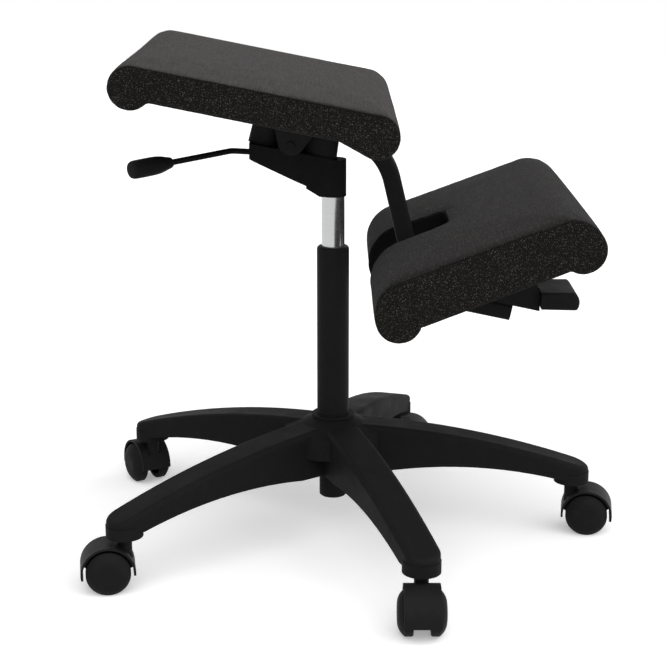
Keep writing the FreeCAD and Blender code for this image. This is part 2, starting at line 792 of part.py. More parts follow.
def make_castor(number, arm_angle, trail_angle):
    stem_x = size.stem_circle * cosine(arm_angle)
    stem_y = size.stem_circle * sine(arm_angle)
    axle_spot = (0, size.wheel_radius, size.castor_trail)
    post_top = size.boss_foot - size.lay_clear

    def stand(body):
        place(body, x=stem_x, y=stem_y, angle=trail_angle)

    stem_foot = post_top - size.stem_drop
    stem_top = size.boss_foot + size.stem_socket - size.lay_clear
    stem = turned(f"castor_stem_{number}", (
        (0, stem_foot),
        (size.stem_radius - 1, stem_foot),
        (size.stem_radius, stem_foot + 1),
        (size.stem_radius, stem_top - 2),
        (size.stem_radius - 1, stem_top),
        (0, stem_top),
    ))
    hood = new_body(f"castor_hood_{number}")
    band_inside = size.wheel_radius + size.hood_gap
    band_half = size.wheel_gap_half + size.tread_width
    band = (
        (-band_half, band_inside),
        (band_half, band_inside),
        (band_half, band_inside + size.hood_wall),
        (-band_half, band_inside + size.hood_wall),
    )
    band_sketch = outline(hood, "YZ_Plane", band, axle_spot, tilt=size.hood_lean)
    revolve(hood, band_sketch, "H_Axis", size.hood_sweep, symmetric=True)
    skin = band_inside + size.hood_wall / 2
    front = -size.post_radius
    back = size.castor_trail + skin * 0.9
    web = (
        (front, size.wheel_radius + 3),
        (front, size.wheel_radius + skin * 0.6),
        (size.castor_trail, size.wheel_radius + skin),
        (size.castor_trail + skin * 0.7, size.wheel_radius + skin * 0.7),
        (back, size.wheel_radius + skin * 0.2),
        (size.castor_trail + size.axle_radius + 4, size.wheel_radius - size.axle_radius - 5),
        (size.castor_trail - size.axle_radius - 4, size.wheel_radius - size.axle_radius - 5),
    )
    pad(hood, outline(hood, "XZ_Plane", web), 2 * size.web_half, symmetric=True)
    post_foot = size.wheel_radius + 3
    post = disc(hood, "XY_Plane", [(0, 0)], size.post_radius, (0, 0, post_foot))
    pad(hood, post, post_top - post_foot)
    bore = disc(hood, "XY_Plane", [(0, 0)], size.stem_radius + size.run_clear, (0, 0, post_top))
    pocket(hood, bore, size.stem_drop + size.lay_clear)
    eye = disc(
        hood, "XZ_Plane", [(size.castor_trail, size.wheel_radius)], size.axle_radius + size.press_clear
    )
    pocket(hood, eye, 4 * size.web_half, symmetric=True)
    axle = turned(f"castor_axle_{number}", (
        (-size.axle_reach, 0),
        (-size.axle_reach, size.axle_radius),
        (size.axle_reach, size.axle_radius),
        (size.axle_reach, 0),
    ), "H_Axis", "YZ_Plane", axle_spot)
    for piece in (stem, hood, axle):
        stand(piece)
    for side, name in ((1, "left"), (-1, "right")):
        stand(make_wheel(f"castor_wheel_{name}_{number}", side, axle_spot))


def make_wheel(node, side, axle_spot):
    """Wheel with a domed outer face and a ring recess inside, on one side of the castor."""
    hole = size.axle_radius + size.run_clear
    inner = size.wheel_gap_half
    rim = inner + size.tread_width
    crown = rim + size.wheel_dome
    cap = size.wheel_radius * 0.35
    lip = 1.2
    recess = inner + size.wheel_recess
    bulge = (-2 if side > 0 else 2)
    corners = (
        (inner, hole),
        (inner, hole + 4),
        (recess, hole + 5),
        (recess, size.wheel_radius - 6),
        (inner, size.wheel_radius - 5),
        (inner, size.wheel_radius - lip),
        (inner + lip, size.wheel_radius),
        (rim - lip, size.wheel_radius),
        (rim, size.wheel_radius - lip, -bulge),
        (crown, cap),
        (crown, 0),
        (size.axle_reach + size.lay_clear, 0),
        (size.axle_reach + size.lay_clear, hole),
    )
    mirrored = [(term(corner[0]) * side,) + tuple(corner[1:]) for corner in corners]
    return turned(node, mirrored, "H_Axis", "YZ_Plane", axle_spot)


# Tilt mechanism under the seat


def lever_nose():
    return size.housing_nose - 13


def make_housing():
    body = new_body("mechanism_housing")
    rear = -size.housing_rear
    top_rear = seat_top_of(rear, -size.housing_clear)
    top_front = seat_top_of(term(0), -size.housing_clear)
    step = -size.housing_step
    toe = step / 2
    side = (
        (0, size.housing_foot),
        (0, top_front),
        (rear, top_rear),
        (rear, size.housing_rear_foot + 3),
        (rear + 5, size.housing_rear_foot),
        (step, size.housing_step_top),
        (step, size.housing_step_top - size.housing_step_drop),
        (toe, size.housing_foot + 1.5),
    )
    pad(body, outline(body, "XZ_Plane", side), 2 * size.housing_half, symmetric=True)
    taper = -size.pivot_back
    far = 2 * size.housing_half
    high = top_rear + size.housing_clear
    for hand in (1, -1):
        corner = (
            (taper, size.housing_half * hand),
            (0, size.housing_nose * hand),
            (far, size.housing_nose * hand),
            (far, far * hand),
            (taper, far * hand),
        )
        pocket(body, outline(body, "XY_Plane", corner, (0, 0, high)), high - size.housing_foot + far)
    nose = disc(body, "XY_Plane", [(0, 0)], size.housing_nose, (0, 0, size.housing_foot))
    pad(body, nose, top_front - size.housing_foot - 1.5)
    lug_x = -size.pivot_back
    lug_z = size.pivot_height
    lug_bow = size.lug_radius * (1 - math.sqrt(0.5))
    foot = seat_top_of(lug_x, -size.housing_clear) - size.lug_radius
    lug = (
        (lug_x - size.lug_radius, foot),
        (lug_x + size.lug_radius, foot),
        (lug_x + size.lug_radius, lug_z, -lug_bow),
        (lug_x, lug_z + size.lug_radius, -lug_bow),
        (lug_x - size.lug_radius, lug_z),
    )
    pad(body, outline(body, "XZ_Plane", lug), 2 * size.housing_half, symmetric=True)
    drop = size.lever_radius + 6
    nose_x = lever_nose() + size.lay_clear + 2
    sky = high
    channel = (
        (rear - 5, size.lever_exit_height - drop),
        (-size.fulcrum_back, size.fulcrum_height - drop - 2),
        (nose_x, size.lever_nose_height - drop),
        (nose_x, sky),
        (rear - 5, sky),
    )
    pocket(body, outline(body, "XZ_Plane", channel), 2 * size.channel_half, symmetric=True)
    hole_foot = size.housing_foot - 5
    slack = size.press_clear
    taper_top = size.housing_foot + size.socket_height
    bore = (
        (0, hole_foot),
        (size.lift_radius + slack, hole_foot),
        (size.lift_radius + slack, size.housing_foot),
        (size.lift_radius - size.taper_drop + slack, taper_top),
        (size.lift_radius - size.taper_drop + slack, taper_top + 3),
        (0, taper_top + 3),
    )
    groove(body, outline(body, "XZ_Plane", bore))
    tilt_hole = disc(body, "XZ_Plane", [(lug_x, lug_z)], size.pivot_radius + size.press_clear)
    pocket(body, tilt_hole, 2 * far, symmetric=True)
    pin_hole = disc(
        body, "XZ_Plane", [(-size.fulcrum_back, size.fulcrum_height)],
        size.fulcrum_radius + size.press_clear,
    )
    pocket(body, pin_hole, 2 * far, symmetric=True)
    return body


def cross_pin(node, radius, half_length, x, z):
    """Round pin across the chair."""
    body = new_body(node)
    pad(body, disc(body, "XZ_Plane", [(x, z)], radius), 2 * half_length, symmetric=True)
    return body


def make_mechanism():
    make_housing()
    ear_outside = size.housing_half + size.lay_clear + size.ear_thickness
    cross_pin("tilt_pin", size.pivot_radius, ear_outside + 2, -size.pivot_back, size.pivot_height)
    fulcrum_half = size.housing_nose + 1
    cross_pin(
        "lever_fulcrum_pin", size.fulcrum_radius, fulcrum_half, -size.fulcrum_back, size.fulcrum_height
    )
    pivot_along = pivot_in_seat()[0]
    foot = -size.housing_clear
    top = -bar_depth_below_seat() - size.bar_depth / 2 - size.lay_clear
    near_rear, near_front = pivot_along - size.buffer_near, pivot_along + size.buffer_near
    make_buffer("rear_buffer", pivot_along - size.buffer_rear, near_rear, foot, top)
    make_buffer("front_buffer", near_front, pivot_along + size.buffer_front, foot, top)
    release_top = size.lever_nose_height - size.lever_radius - size.lay_clear
    turned("release_pin", (
        (0, release_top - size.release_length),
        (size.release_radius, release_top - size.release_length),
        (size.release_radius, release_top - 0.5),
        (size.release_radius - 0.5, release_top),
        (0, release_top),
    ))


def make_buffer(node, rear, front, foot, top):
    """Rubber block with a lip round its foot, standing square on the housing's sloped top."""
    body = new_body(node)
    lip = size.buffer_lip
    lip_top = foot + size.buffer_lip_height
    side = (
        (rear, foot),
        (front, foot),
        (front, lip_top),
        (front - lip, lip_top + lip),
        (front - lip, top),
        (rear + lip, top),
        (rear + lip, lip_top + lip),
        (rear, lip_top),
    )
    pad(body, outline(body, "XZ_Plane", side), 2 * size.buffer_half, symmetric=True)

    def upright(edge):
        a, b = edge.valueAt(edge.FirstParameter), edge.valueAt(edge.LastParameter)
        return abs(a.z - b.z) > 2 * size.buffer_lip_height.value and abs(a.y - b.y) < 0.1

    round_edges(body, size.buffer_lip * 2, upright)
    place_on_seat(body)


# Height lever


def lever_route():
    """Middle line of the lever rod, from over the release pin to inside the handle."""
    nose = vector(lever_nose().value, 0, size.lever_nose_height.value)
    fulcrum = vector(-size.fulcrum_back.value, 0, size.fulcrum_height.value)
    rear = vector(-size.housing_rear.value + 6, 0, size.lever_exit_height.value)
    knee = vector(-size.lever_knee.value, 0, size.lever_exit_height.value + 1.5)
    reach = vector(-size.lever_out_x.value, -size.lever_out_y.value, -size.lever_out_drop.value)
    grip = knee + reach
    inside = grip + vector(reach).normalize() * (size.grip_length.value * 0.6)
    return nose, fulcrum, rear, knee, grip, inside


def bent_wire(points, bend):
    """Straight runs joined by tangent arcs."""
    edges = []
    last = points[0]
    for before, corner, after in zip(points, points[1:], points[2:]):
        back = (before - corner).normalize()
        ahead = (after - corner).normalize()
        half_turn = (math.pi - back.getAngle(ahead)) / 2
        if half_turn < 1e-3:
            continue
        cut = bend * math.tan(half_turn)
        start = corner + back * cut
        finish = corner + ahead * cut
        inward = (back + ahead).normalize()
        middle = corner + inward * (bend / math.cos(half_turn) - bend)
        edges.append(Part.LineSegment(last, start).toShape())
        edges.append(Part.Arc(start, middle, finish).toShape())
        last = finish
    edges.append(Part.LineSegment(last, points[-1]).toShape())
    return Part.Wire(edges)


def swept(wire, face_wire):
    return wire.makePipeShell([face_wire], True, False)


def make_height_lever():
    nose, fulcrum, rear, knee, grip, inside = lever_route()
    route = bent_wire([nose, fulcrum, rear, knee, inside], size.lever_bend.value)
    ring = Part.Wire(Part.makeCircle(size.lever_radius.value, nose, fulcrum - nose))
    eye_half = size.channel_half.value - 0.5
    eye = Part.makeCylinder(size.fulcrum_eye.value, 2 * eye_half, fulcrum - ACROSS * eye_half, ACROSS)
    hole_radius = size.fulcrum_radius.value + size.run_clear.value
    hole = Part.makeCylinder(hole_radius, 4 * eye_half, fulcrum - ACROSS * 2 * eye_half, ACROSS)
    solid_feature("height_lever", swept(route, ring).fuse(eye).cut(hole).removeSplitter())
    body = new_body("height_lever_handle")
    length = size.grip_length
    wide = size.grip_radius
    edge = size.grip_round
    bore = size.lever_radius + size.press_clear
    bore_end = length * 0.6 + size.lay_clear
    half = (
        (bore, 0),
        (size.grip_neck - edge * 0.4, 0),
        (size.grip_neck, edge * 0.6),
        (wide, length - edge, 0.88 * edge / 3),
        (wide - edge, length),
        (0, length),
        (0, bore_end),
        (bore, bore_end),
    )
    revolve(body, outline(body, "XZ_Plane", half))
    spin = FreeCAD.Rotation(UPWARD, inside - grip)
    body.Placement = FreeCAD.Placement(grip, spin)


# Seat: bracket, board, cushion and bar


def cushion_section(y, rear, front, thickness, extra, roll, hang, blend):
    """Side section of a pad at y: flat slab with rolled ends that hang below its underside."""
    middle = roll - hang
    upper = thickness - middle
    rear_upper = upper + extra
    notch = math.sqrt(roll * roll - middle * middle)

    def on(centre, radius, degrees):
        turn = math.radians(degrees)
        return vector(centre + radius * math.cos(turn), y, middle + radius * math.sin(turn))

    front_top = front + roll - upper
    rear_top = -rear - roll + rear_upper
    blend_turn = -100 if blend > notch else math.degrees(math.asin(-middle / roll)) - 2 * (
        90 + math.degrees(math.asin(-middle / roll))
    )
    front_foot = vector(front - max(blend, notch), y, 0)
    rear_foot = vector(-rear + notch, y, 0)
    rear_turn = math.degrees(math.asin(-middle / roll))
    turns = (
        (on(front_top, upper, 90), on(front_top, upper, 45), on(front_top, upper, 0)),
        (on(front, roll, 0), on(front, roll, blend_turn / 2), on(front, roll, blend_turn)),
        (on(-rear, roll, rear_turn), on(-rear, roll, (rear_turn - 180) / 2), on(-rear, roll, -180)),
        (on(rear_top, rear_upper, 180), on(rear_top, rear_upper, 135), on(rear_top, rear_upper, 90)),
    )
    edges = [Part.LineSegment(turns[3][2], turns[0][0]).toShape()]
    edges += [Part.Arc(*turn).toShape() for turn in turns[:2]]
    if (turns[1][2] - front_foot).Length > 1e-6:
        edges.append(Part.LineSegment(turns[1][2], front_foot).toShape())
    edges.append(Part.LineSegment(front_foot, rear_foot).toShape())
    edges += [Part.Arc(*turn).toShape() for turn in turns[2:]]
    return Part.Wire(edges)


def cushion(width, rear, front, thickness, extra, roll, hang, blend, crown):
    """Pad lofted across the chair, crowned in the middle and drawn in to its side seams."""
    half = width / 2
    stations = ((1.0, 0.0), (0.97, 0.55), (0.9, 0.88), (0.5, 1.0))
    sides = [(-share, rise) for share, rise in stations]
    sections = sides + [(share, rise) for share, rise in reversed(stations)]
    wires = []
    for share, rise in sections:
        high = thickness + crown * rise
        out = size.pad_bulge.value * rise
        section = cushion_section(half * share, rear + out, front + out, high, extra, roll, hang, blend)
        wires.append(section)
    return Part.makeLoft(wires, True, False)


def board_box(width, rear, front, room):
    """Plywood board in its pad's frame, or with room round it the recess that holds it."""
    half = width / 2 - size.board_margin.value + room
    low = (-rear - room, -half, -size.board_proud.value)
    top = size.board_thickness.value - size.board_proud.value + room
    return box_between(low, (front + room, half, top))


def screw_places(along, apart):
    return [(x, y) for x in along for y in (-apart, apart)]


def screws(node, spots, head_top, tip, placement):
    """Group of equal round-head screws, heads below a plate and points in a board."""
    solids = []
    for x, y in spots:
        shank = Part.makeCylinder(size.screw_radius.value, tip - head_top, vector(x, y, head_top))
        head_foot = head_top - size.screw_head_height.value
        spot = vector(x, y, head_foot)
        head = Part.makeCylinder(size.screw_head.value, size.screw_head_height.value, spot)
        solids.append(shank.fuse(head).removeSplitter())
    solid_feature(node, Part.makeCompound(solids), placement)


def drilled(shape, spots, low, high):
    """A shape with a clear hole for each screw."""
    radius = size.screw_radius.value + size.press_clear.value
    for x, y in spots:
        shape = shape.cut(Part.makeCylinder(radius, high - low, vector(x, y, low)))
    return shape


def seat_screw_spots():
    apart = size.plate_half.value - 2 * size.screw_head.value + 4
    rear = -size.plate_rear.value + 2 * size.screw_head.value
    front = size.plate_front.value - 2 * size.screw_head.value
    return screw_places((rear, front), apart)


def make_seat():
    rear = size.seat_rear.value - size.seat_board_rear.value
    front = size.seat_front.value - size.seat_board_front.value
    board_span = (size.seat_width.value, rear, front)
    spots = seat_screw_spots()
    proud = size.board_proud.value
    tip = size.board_thickness.value - proud - 1
    board = drilled(board_box(*board_span, 0), spots, -proud - 1, tip)
    solid_feature("seat_board", board, seat_frame())
    recess = board_box(*board_span, size.press_clear.value)
    soft = cushion(
        size.seat_width.value, size.seat_rear.value, size.seat_front.value, size.seat_thickness.value,
        size.seat_rear_extra.value, size.seat_roll.value, size.seat_hang.value, size.seat_blend.value,
        size.seat_crown.value,
    )
    solid_feature("seat_cushion", soft.cut(recess), seat_frame())
    make_seat_bracket(spots)
    head_top = -proud - size.plate_thickness.value
    screws("seat_screws", spots, head_top, tip - 0.5, seat_frame())


def make_seat_bracket(spots):
    body = new_body("seat_bracket")
    pivot_along, pivot_above = pivot_in_seat()
    plate_foot = -size.board_proud - size.plate_thickness
    plate_top = -size.board_proud
    bow = size.lug_radius * 0.25
    low = pivot_above - size.lug_radius
    ear = (
        (pivot_along - size.ear_rear, plate_top),
        (pivot_along - size.ear_tip, pivot_above - 1, bow),
        (pivot_along, low, bow),
        (pivot_along + size.ear_tip, pivot_above - 1),
        (pivot_along + size.ear_front, plate_top),
    )
    inside = size.housing_half + size.lay_clear
    across = 2 * (inside + size.ear_thickness)
    pad(body, outline(body, "XZ_Plane", reversed_ear(ear)), across, symmetric=True)
    gap = (
        (-size.plate_rear * 2, low - 5),
        (size.plate_rear * 2, low - 5),
        (size.plate_rear * 2, plate_top + 5),
        (-size.plate_rear * 2, plate_top + 5),
    )
    pocket(body, outline(body, "XZ_Plane", gap), 2 * inside, symmetric=True)
    plate = (
        (-size.plate_rear, -size.plate_half),
        (size.plate_front, -size.plate_half),
        (size.plate_front, size.plate_half),
        (-size.plate_rear, size.plate_half),
    )
    pad(body, outline(body, "XY_Plane", plate, (0, 0, plate_foot)), size.plate_thickness)
    hole = disc(
        body, "XZ_Plane", [(pivot_along, pivot_above)], size.pivot_radius + size.run_clear
    )
    pocket(body, hole, 4 * size.plate_half, symmetric=True)
    holes = disc(body, "XY_Plane", spots, size.screw_radius + size.press_clear, (0, 0, plate_top))
    pocket(body, holes, size.plate_thickness)
    place_on_seat(body)


def reversed_ear(corners):
    """The same outline with its round tip bowing outwards."""
    return [corner[:2] if len(corner) < 3 else (corner[0], corner[1], -corner[2]) for corner in corners]


def rounded_section(centre, across, upward, width, depth, radius):
    """Rectangle with round corners, about a centre, in the plane of two directions."""
    edges = []
    corners = ((1, 1), (-1, 1), (-1, -1), (1, -1))
    points = []
    for side, rise in corners:
        middle = centre + across * (side * (width / 2 - radius)) + upward * (rise * (depth / 2 - radius))
        first, second = (across * side, upward * rise)
        if side * rise < 0:
            first, second = second, first
        bow = (first + second).normalize()
        points.append((middle + first * radius, middle + bow * radius, middle + second * radius))
    for index, (start, bow, finish) in enumerate(points):
        edges.append(Part.Arc(start, bow, finish).toShape())
        edges.append(Part.LineSegment(finish, points[(index + 1) % 4][0]).toShape())
    return Part.Wire(edges)


def bar_route():
    """Middle line of the knee bar in the side plane, from under the seat to the rail's end."""
    rear_x, rear_z = seat_point(-size.plate_rear, -bar_depth_below_seat())
    upper_x, upper_z = upper_corner()
    corner_x, corner_z = rail_corner()
    end_x = corner_x + size.rail_length * cosine(size.rail_angle)
    end_z = corner_z - size.rail_length * sine(size.rail_angle)
    pairs = ((rear_x, rear_z), (upper_x, upper_z), (corner_x, corner_z), (end_x, end_z))
    return [vector(x.value, 0, z.value) for x, z in pairs]


def bar_wire():
    rear, upper, corner, end = bar_route()
    middle = (upper + corner) * 0.5
    first = bent_wire([rear, upper, middle], size.bar_bend_upper.value)
    second = bent_wire([middle, corner, end], size.bar_bend_lower.value)
    return Part.Wire(first.Edges + second.Edges)


def make_bar():
    wire = bar_wire()
    rear, upper = bar_route()[:2]
    upward = (upper - rear).normalize().cross(ACROSS) * -1
    width, depth, wall = size.bar_width.value, size.bar_depth.value, size.bar_wall.value
    radius = size.bar_round.value
    outer = rounded_section(rear, ACROSS, upward, width, depth, radius)
    inner = rounded_section(rear, ACROSS, upward, width - 2 * wall, depth - 2 * wall, radius - wall)
    tube = swept(wire, outer).cut(swept(wire, inner))
    slot_half = size.clamp_radius.value + 0.5
    start, run = size.rail_slot_start.value, size.rail_slot_length.value
    slot = box_between((start, -slot_half, 0), (start + run, slot_half, depth))
    slot.Placement = rail_frame()
    solid_feature("knee_bar", tube.cut(slot))
    make_bar_cap(width, depth, wall, radius)


def make_bar_cap(width, depth, wall, radius):
    end = size.rail_length.value
    room = wall + size.press_clear.value
    cap = rounded_section(vector(end, 0, 0), ACROSS, UPWARD, width, depth, radius)
    flange = Part.Face(cap).extrude(vector(size.cap_flange.value, 0, 0))
    core = rounded_section(
        vector(end, 0, 0), ACROSS, UPWARD, width - 2 * room, depth - 2 * room, radius - wall
    )
    plug = Part.Face(core).extrude(vector(-size.cap_plug.value, 0, 0))
    solid_feature("knee_bar_cap", flange.fuse(plug).removeSplitter(), rail_frame())


# Knee pad and its clamp


def slot_prism(margin, low, high):
    """Slot that lets the bar through, tapered to its round-cornered end, open at the rear."""
    rear = -size.knee_rear.value - 2 * size.knee_roll.value
    end = size.slot_end.value + margin
    back = size.slot_rear_half.value + margin
    front = size.slot_front_half.value + margin
    plan = ((rear, -back), (end, -front), (end, front), (rear, back))
    corners = [vector(x, y, low) for x, y in plan]
    route = bent_wire(corners, size.slot_round.value)
    closing = Part.LineSegment(corners[-1], corners[0]).toShape()
    return Part.Face(Part.Wire(route.Edges + [closing])).extrude(vector(0, 0, high - low))


def knee_screw_spots():
    start = size.slot_end.value + 2 * size.screw_head.value + size.knee_screw_start.value
    apart = size.carriage_half.value - size.carriage_wall.value - size.knee_screw_edge.value
    return screw_places((start, start + size.knee_screw_pitch.value), apart)


def make_knee_pad():
    rear = size.knee_rear.value - size.knee_board_rear.value
    front = size.knee_front.value - size.knee_board_front.value
    board_span = (size.knee_width.value, rear, front)
    spots = knee_screw_spots()
    proud = size.board_proud.value
    top = size.board_thickness.value - proud
    high = size.knee_thickness.value + 2 * size.knee_crown.value
    low = -2 * size.knee_hang.value - proud
    board = board_box(*board_span, 0).cut(slot_prism(size.slot_margin.value, low, high))
    solid_feature("knee_board", drilled(board, spots, -proud - 1, top - 1), knee_frame())
    recess = board_box(*board_span, size.press_clear.value)
    soft = cushion(
        size.knee_width.value, size.knee_rear.value, size.knee_front.value, size.knee_thickness.value,
        size.knee_rear_extra.value, size.knee_roll.value, size.knee_hang.value, 0, size.knee_crown.value,
    )
    solid_feature("knee_cushion", soft.cut(recess).cut(slot_prism(0, low, high)), knee_frame())
    head_top = -proud - size.carriage_wall.value
    screws("knee_screws", spots, head_top, top - 1.5, knee_frame())
    make_carriage(spots)


def make_carriage(spots):
    """Folded sheet box between the rail's top and the knee board, open at both ends."""
    wall = size.carriage_wall
    foot = size.bar_depth / 2 + size.lay_clear
    under_board = -size.board_proud
    rear_along = size.slot_end - size.carriage_set_back
    rear_top = knee_to_rail(rear_along, under_board)
    front_top = knee_to_rail(size.carriage_top, under_board)
    lip = (size.carriage_reach - size.carriage_lip * tangent(size.rail_angle), foot + size.carriage_lip)
    outside = (
        (size.carriage_start, foot),
        (size.carriage_reach, foot),
        lip,
        front_top,
        rear_top,
    )
    body = new_body("knee_carriage")
    pad(body, outline(body, "XZ_Plane", outside), 2 * size.carriage_half, symmetric=True)
    slope_x = front_top[0] - rear_top[0]
    slope_z = front_top[1] - rear_top[1]
    inside_rear = knee_to_rail(rear_along, under_board - wall)
    inside_front = knee_to_rail(size.carriage_top, under_board - wall)
    past = size.carriage_reach + 3 * wall
    before = size.carriage_start - 4 * wall
    inside = (
        (before, foot + wall),
        (past, foot + wall),
        (past, lip[1] + wall),
        (inside_front[0] + 2 * slope_x / 10, inside_front[1] + 2 * slope_z / 10),
        inside_rear,
        (before, inside_rear[1]),
    )
    pocket(body, outline(body, "XZ_Plane", inside), 2 * (size.carriage_half - wall), symmetric=True)
    bolt_hole = disc(
        body, "XY_Plane", [(size.clamp_place, 0)], size.clamp_radius + size.press_clear, (0, 0, foot)
    )
    pocket(body, bolt_hole, wall, backward=True)
    pin_hole = disc(
        body, "XZ_Plane", [(size.clamp_place, size.clamp_rise)], size.clamp_pin_radius + size.press_clear
    )
    pocket(body, pin_hole, 4 * size.carriage_half, symmetric=True)
    place_on_rail(body)
    drill_carriage(body, spots)


def drill_carriage(body, spots):
    """Screw holes through the carriage's top sheet, square to the knee board."""
    turn = size.rail_angle + size.knee_angle
    holes = new_sketch(body, "XY_Plane")
    reference = knee_to_rail(term(0), -size.board_proud)
    tilt = FreeCAD.Rotation(-ACROSS, turn.value)
    base = vector(reference[0].value, 0, reference[1].value)
    holes.AttachmentOffset = FreeCAD.Placement(base, tilt)
    for letter, amount in (("x", reference[0]), ("z", reference[1])):
        bind(holes, "AttachmentOffset.Base." + letter, amount)
    bind(holes, "AttachmentOffset.Rotation.Angle", turn)
    radius = size.screw_radius + size.press_clear
    for x, y in spots:
        edge = holes.addGeometry(Part.Circle(vector(x, y, 0), UPWARD, radius.value), False)
        fix_point(holes, edge, 3, term(x), term(y))
        index = holes.addConstraint(Sketcher.Constraint("Radius", edge, radius.value))
        bind(holes, f"Constraints[{index}]", radius)
    pocket(body, holes, 2 * size.carriage_wall)


def make_clamp():
    """Nut in the rail, eyebolt through the slot, cross pin, cam lever and paddle."""
    room = size.lay_clear.value
    foot = size.bar_depth.value / 2
    bolt_x = size.clamp_place.value
    nut_top = foot - size.bar_wall.value - room
    nut_half = size.nut_half.value
    nut = box_between(
        (bolt_x - size.nut_length.value / 2, -nut_half, 0.7),
        (bolt_x + size.nut_length.value / 2, nut_half, nut_top),
    )
    hole_radius = size.clamp_radius.value + size.press_clear.value
    hole = Part.makeCylinder(hole_radius, 2 * foot, vector(bolt_x, 0, -foot))
    solid_feature("clamp_nut", nut.cut(hole), rail_frame())
    eye_half = size.cam_width.value - 0.5
    rise = size.clamp_rise.value
    shank = Part.makeCylinder(size.clamp_radius.value, rise, vector(bolt_x, 0, 0.7))
    eye_start = vector(bolt_x, -eye_half, rise)
    eye = Part.makeCylinder(size.clamp_eye.value, 2 * eye_half, eye_start, ACROSS)
    pin_radius = size.clamp_pin_radius.value + size.press_clear.value
    pin_hole = Part.makeCylinder(pin_radius, 4 * eye_half, eye_start - ACROSS * eye_half, ACROSS)
    solid_feature("clamp_eyebolt", shank.fuse(eye).cut(pin_hole).removeSplitter(), rail_frame())
    pin = new_body("clamp_pin")
    pin_sketch = disc(pin, "XZ_Plane", [(size.clamp_place, size.clamp_rise)], size.clamp_pin_radius)
    pad(pin, pin_sketch, 2 * (size.carriage_half + 1), symmetric=True)
    place_on_rail(pin)
    make_knee_lever()


def clamp_axis():
    """World (x, z) of the clamp's pin."""
    corner_x, corner_z = rail_corner()
    turn = size.rail_angle
    x = corner_x + size.clamp_place * cosine(turn) + size.clamp_rise * sine(turn)
    z = corner_z - size.clamp_place * sine(turn) + size.clamp_rise * cosine(turn)
    return x, z


def strap_tip():
    x = size.paddle_start + size.paddle_length * 0.5
    return x, size.paddle_foot + size.paddle_depth / 2


def make_knee_lever():
    axis_x, axis_z = clamp_axis()
    tip_x, tip_z = strap_tip()
    half = size.strap_depth / 2
    inner = size.cam_width
    outer = 2 * size.cam_width
    lever = new_body("knee_lever")
    cams = disc(lever, "XZ_Plane", [(axis_x, axis_z)], size.cam_radius)
    pad(lever, cams, 2 * outer, symmetric=True)
    clear = size.clamp_eye + 2
    strap = (
        (axis_x + size.cam_radius * 0.5, axis_z - half * 1.5),
        (tip_x, tip_z - half),
        (tip_x, tip_z + half),
        (axis_x + size.cam_radius * 0.5, axis_z + half * 1.5),
    )
    pad(lever, outline(lever, "XZ_Plane", strap), 2 * outer, symmetric=True)
    reach = size.cam_radius + 3
    fork = (
        (axis_x - reach, axis_z - reach - 6),
        (axis_x + clear, axis_z - reach - 6),
        (axis_x + clear, axis_z + reach),
        (axis_x - reach, axis_z + reach),
    )
    pocket(lever, outline(lever, "XZ_Plane", fork), 2 * inner, symmetric=True)
    hole = disc(lever, "XZ_Plane", [(axis_x, axis_z)], size.clamp_pin_radius + size.run_clear)
    pocket(lever, hole, 4 * outer, symmetric=True)
    make_paddle(axis_x, axis_z, tip_x, tip_z, half, outer)


def make_paddle(axis_x, axis_z, tip_x, tip_z, half, outer):
    """Moulded paddle on the lever's strap, with a round front edge."""
    body = new_body("knee_lever_handle")
    start = size.paddle_start
    end = start + size.paddle_length
    foot = size.paddle_foot
    top = foot + size.paddle_depth
    side = (
        (start, foot),
        (end - 2, foot - 1, -1.5),
        (end, top - 8, -1),
        (end - 6, top),
        (start, top),
    )
    pad(body, outline(body, "XZ_Plane", side), 2 * size.paddle_half, symmetric=True)

    def upright_corner(edge):
        a, b = edge.valueAt(edge.FirstParameter), edge.valueAt(edge.LastParameter)
        on_side = abs(abs(a.y) - size.paddle_half.value) < 0.1 and abs(a.y - b.y) < 0.1
        return on_side and min(a.z, b.z) > foot.value + size.paddle_depth.value - 9

    round_edges(body, size.paddle_round * 0.6, upright_corner)
    slack = size.press_clear
    base_x = axis_x + size.cam_radius * 0.5
    run = tip_x - base_x
    share = (start - 5 - base_x) / run
    half_there = half * 1.5 + (half - half * 1.5) * share + slack
    line_there = axis_z + (tip_z - axis_z) * share
    seat = (
        (start - 5, line_there - half_there),
        (tip_x + slack, tip_z - half - slack),
        (tip_x + slack, tip_z + half + slack),
        (start - 5, line_there + half_there),
    )
    pocket(body, outline(body, "XZ_Plane", seat), 2 * (outer + slack), symmetric=True)


# Build, check and write


def check(thing):
    for word in ("Invalid", "Error"):
        if word in thing.State:
            raise ValueError(f"{thing.Label} failed: {thing.State}")


make_base()
make_gas_lift()
for index, trail in enumerate(TRAIL_TURNS):
    arm_step = term(360) / size.arm_count
    make_castor(index + 1, size.arm_turn + arm_step * index, term(trail))
make_mechanism()
make_height_lever()
make_seat()
make_bar()
make_knee_pad()
make_clamp()
doc.recompute()
for thing in doc.Objects:
    check(thing)
os.makedirs("parts", exist_ok=True)
for sub_part in sub_parts:
    shape = sub_part.Shape
    if shape.isNull() or not shape.isValid():
        raise ValueError(f"{sub_part.Label} has no valid shape")
    shape.exportStep(f"parts/{sub_part.Label}.step")
print(len(sub_parts), "sub-parts written")
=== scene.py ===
"""Kneeling chair: covers, finishes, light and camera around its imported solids."""

import math
from collections import namedtuple

import bmesh
import bpy
import numpy as np
from bpy.props import FloatProperty, FloatVectorProperty, IntProperty, PointerProperty
from mathutils import Matrix, Vector, noise
from mathutils.kdtree import KDTree


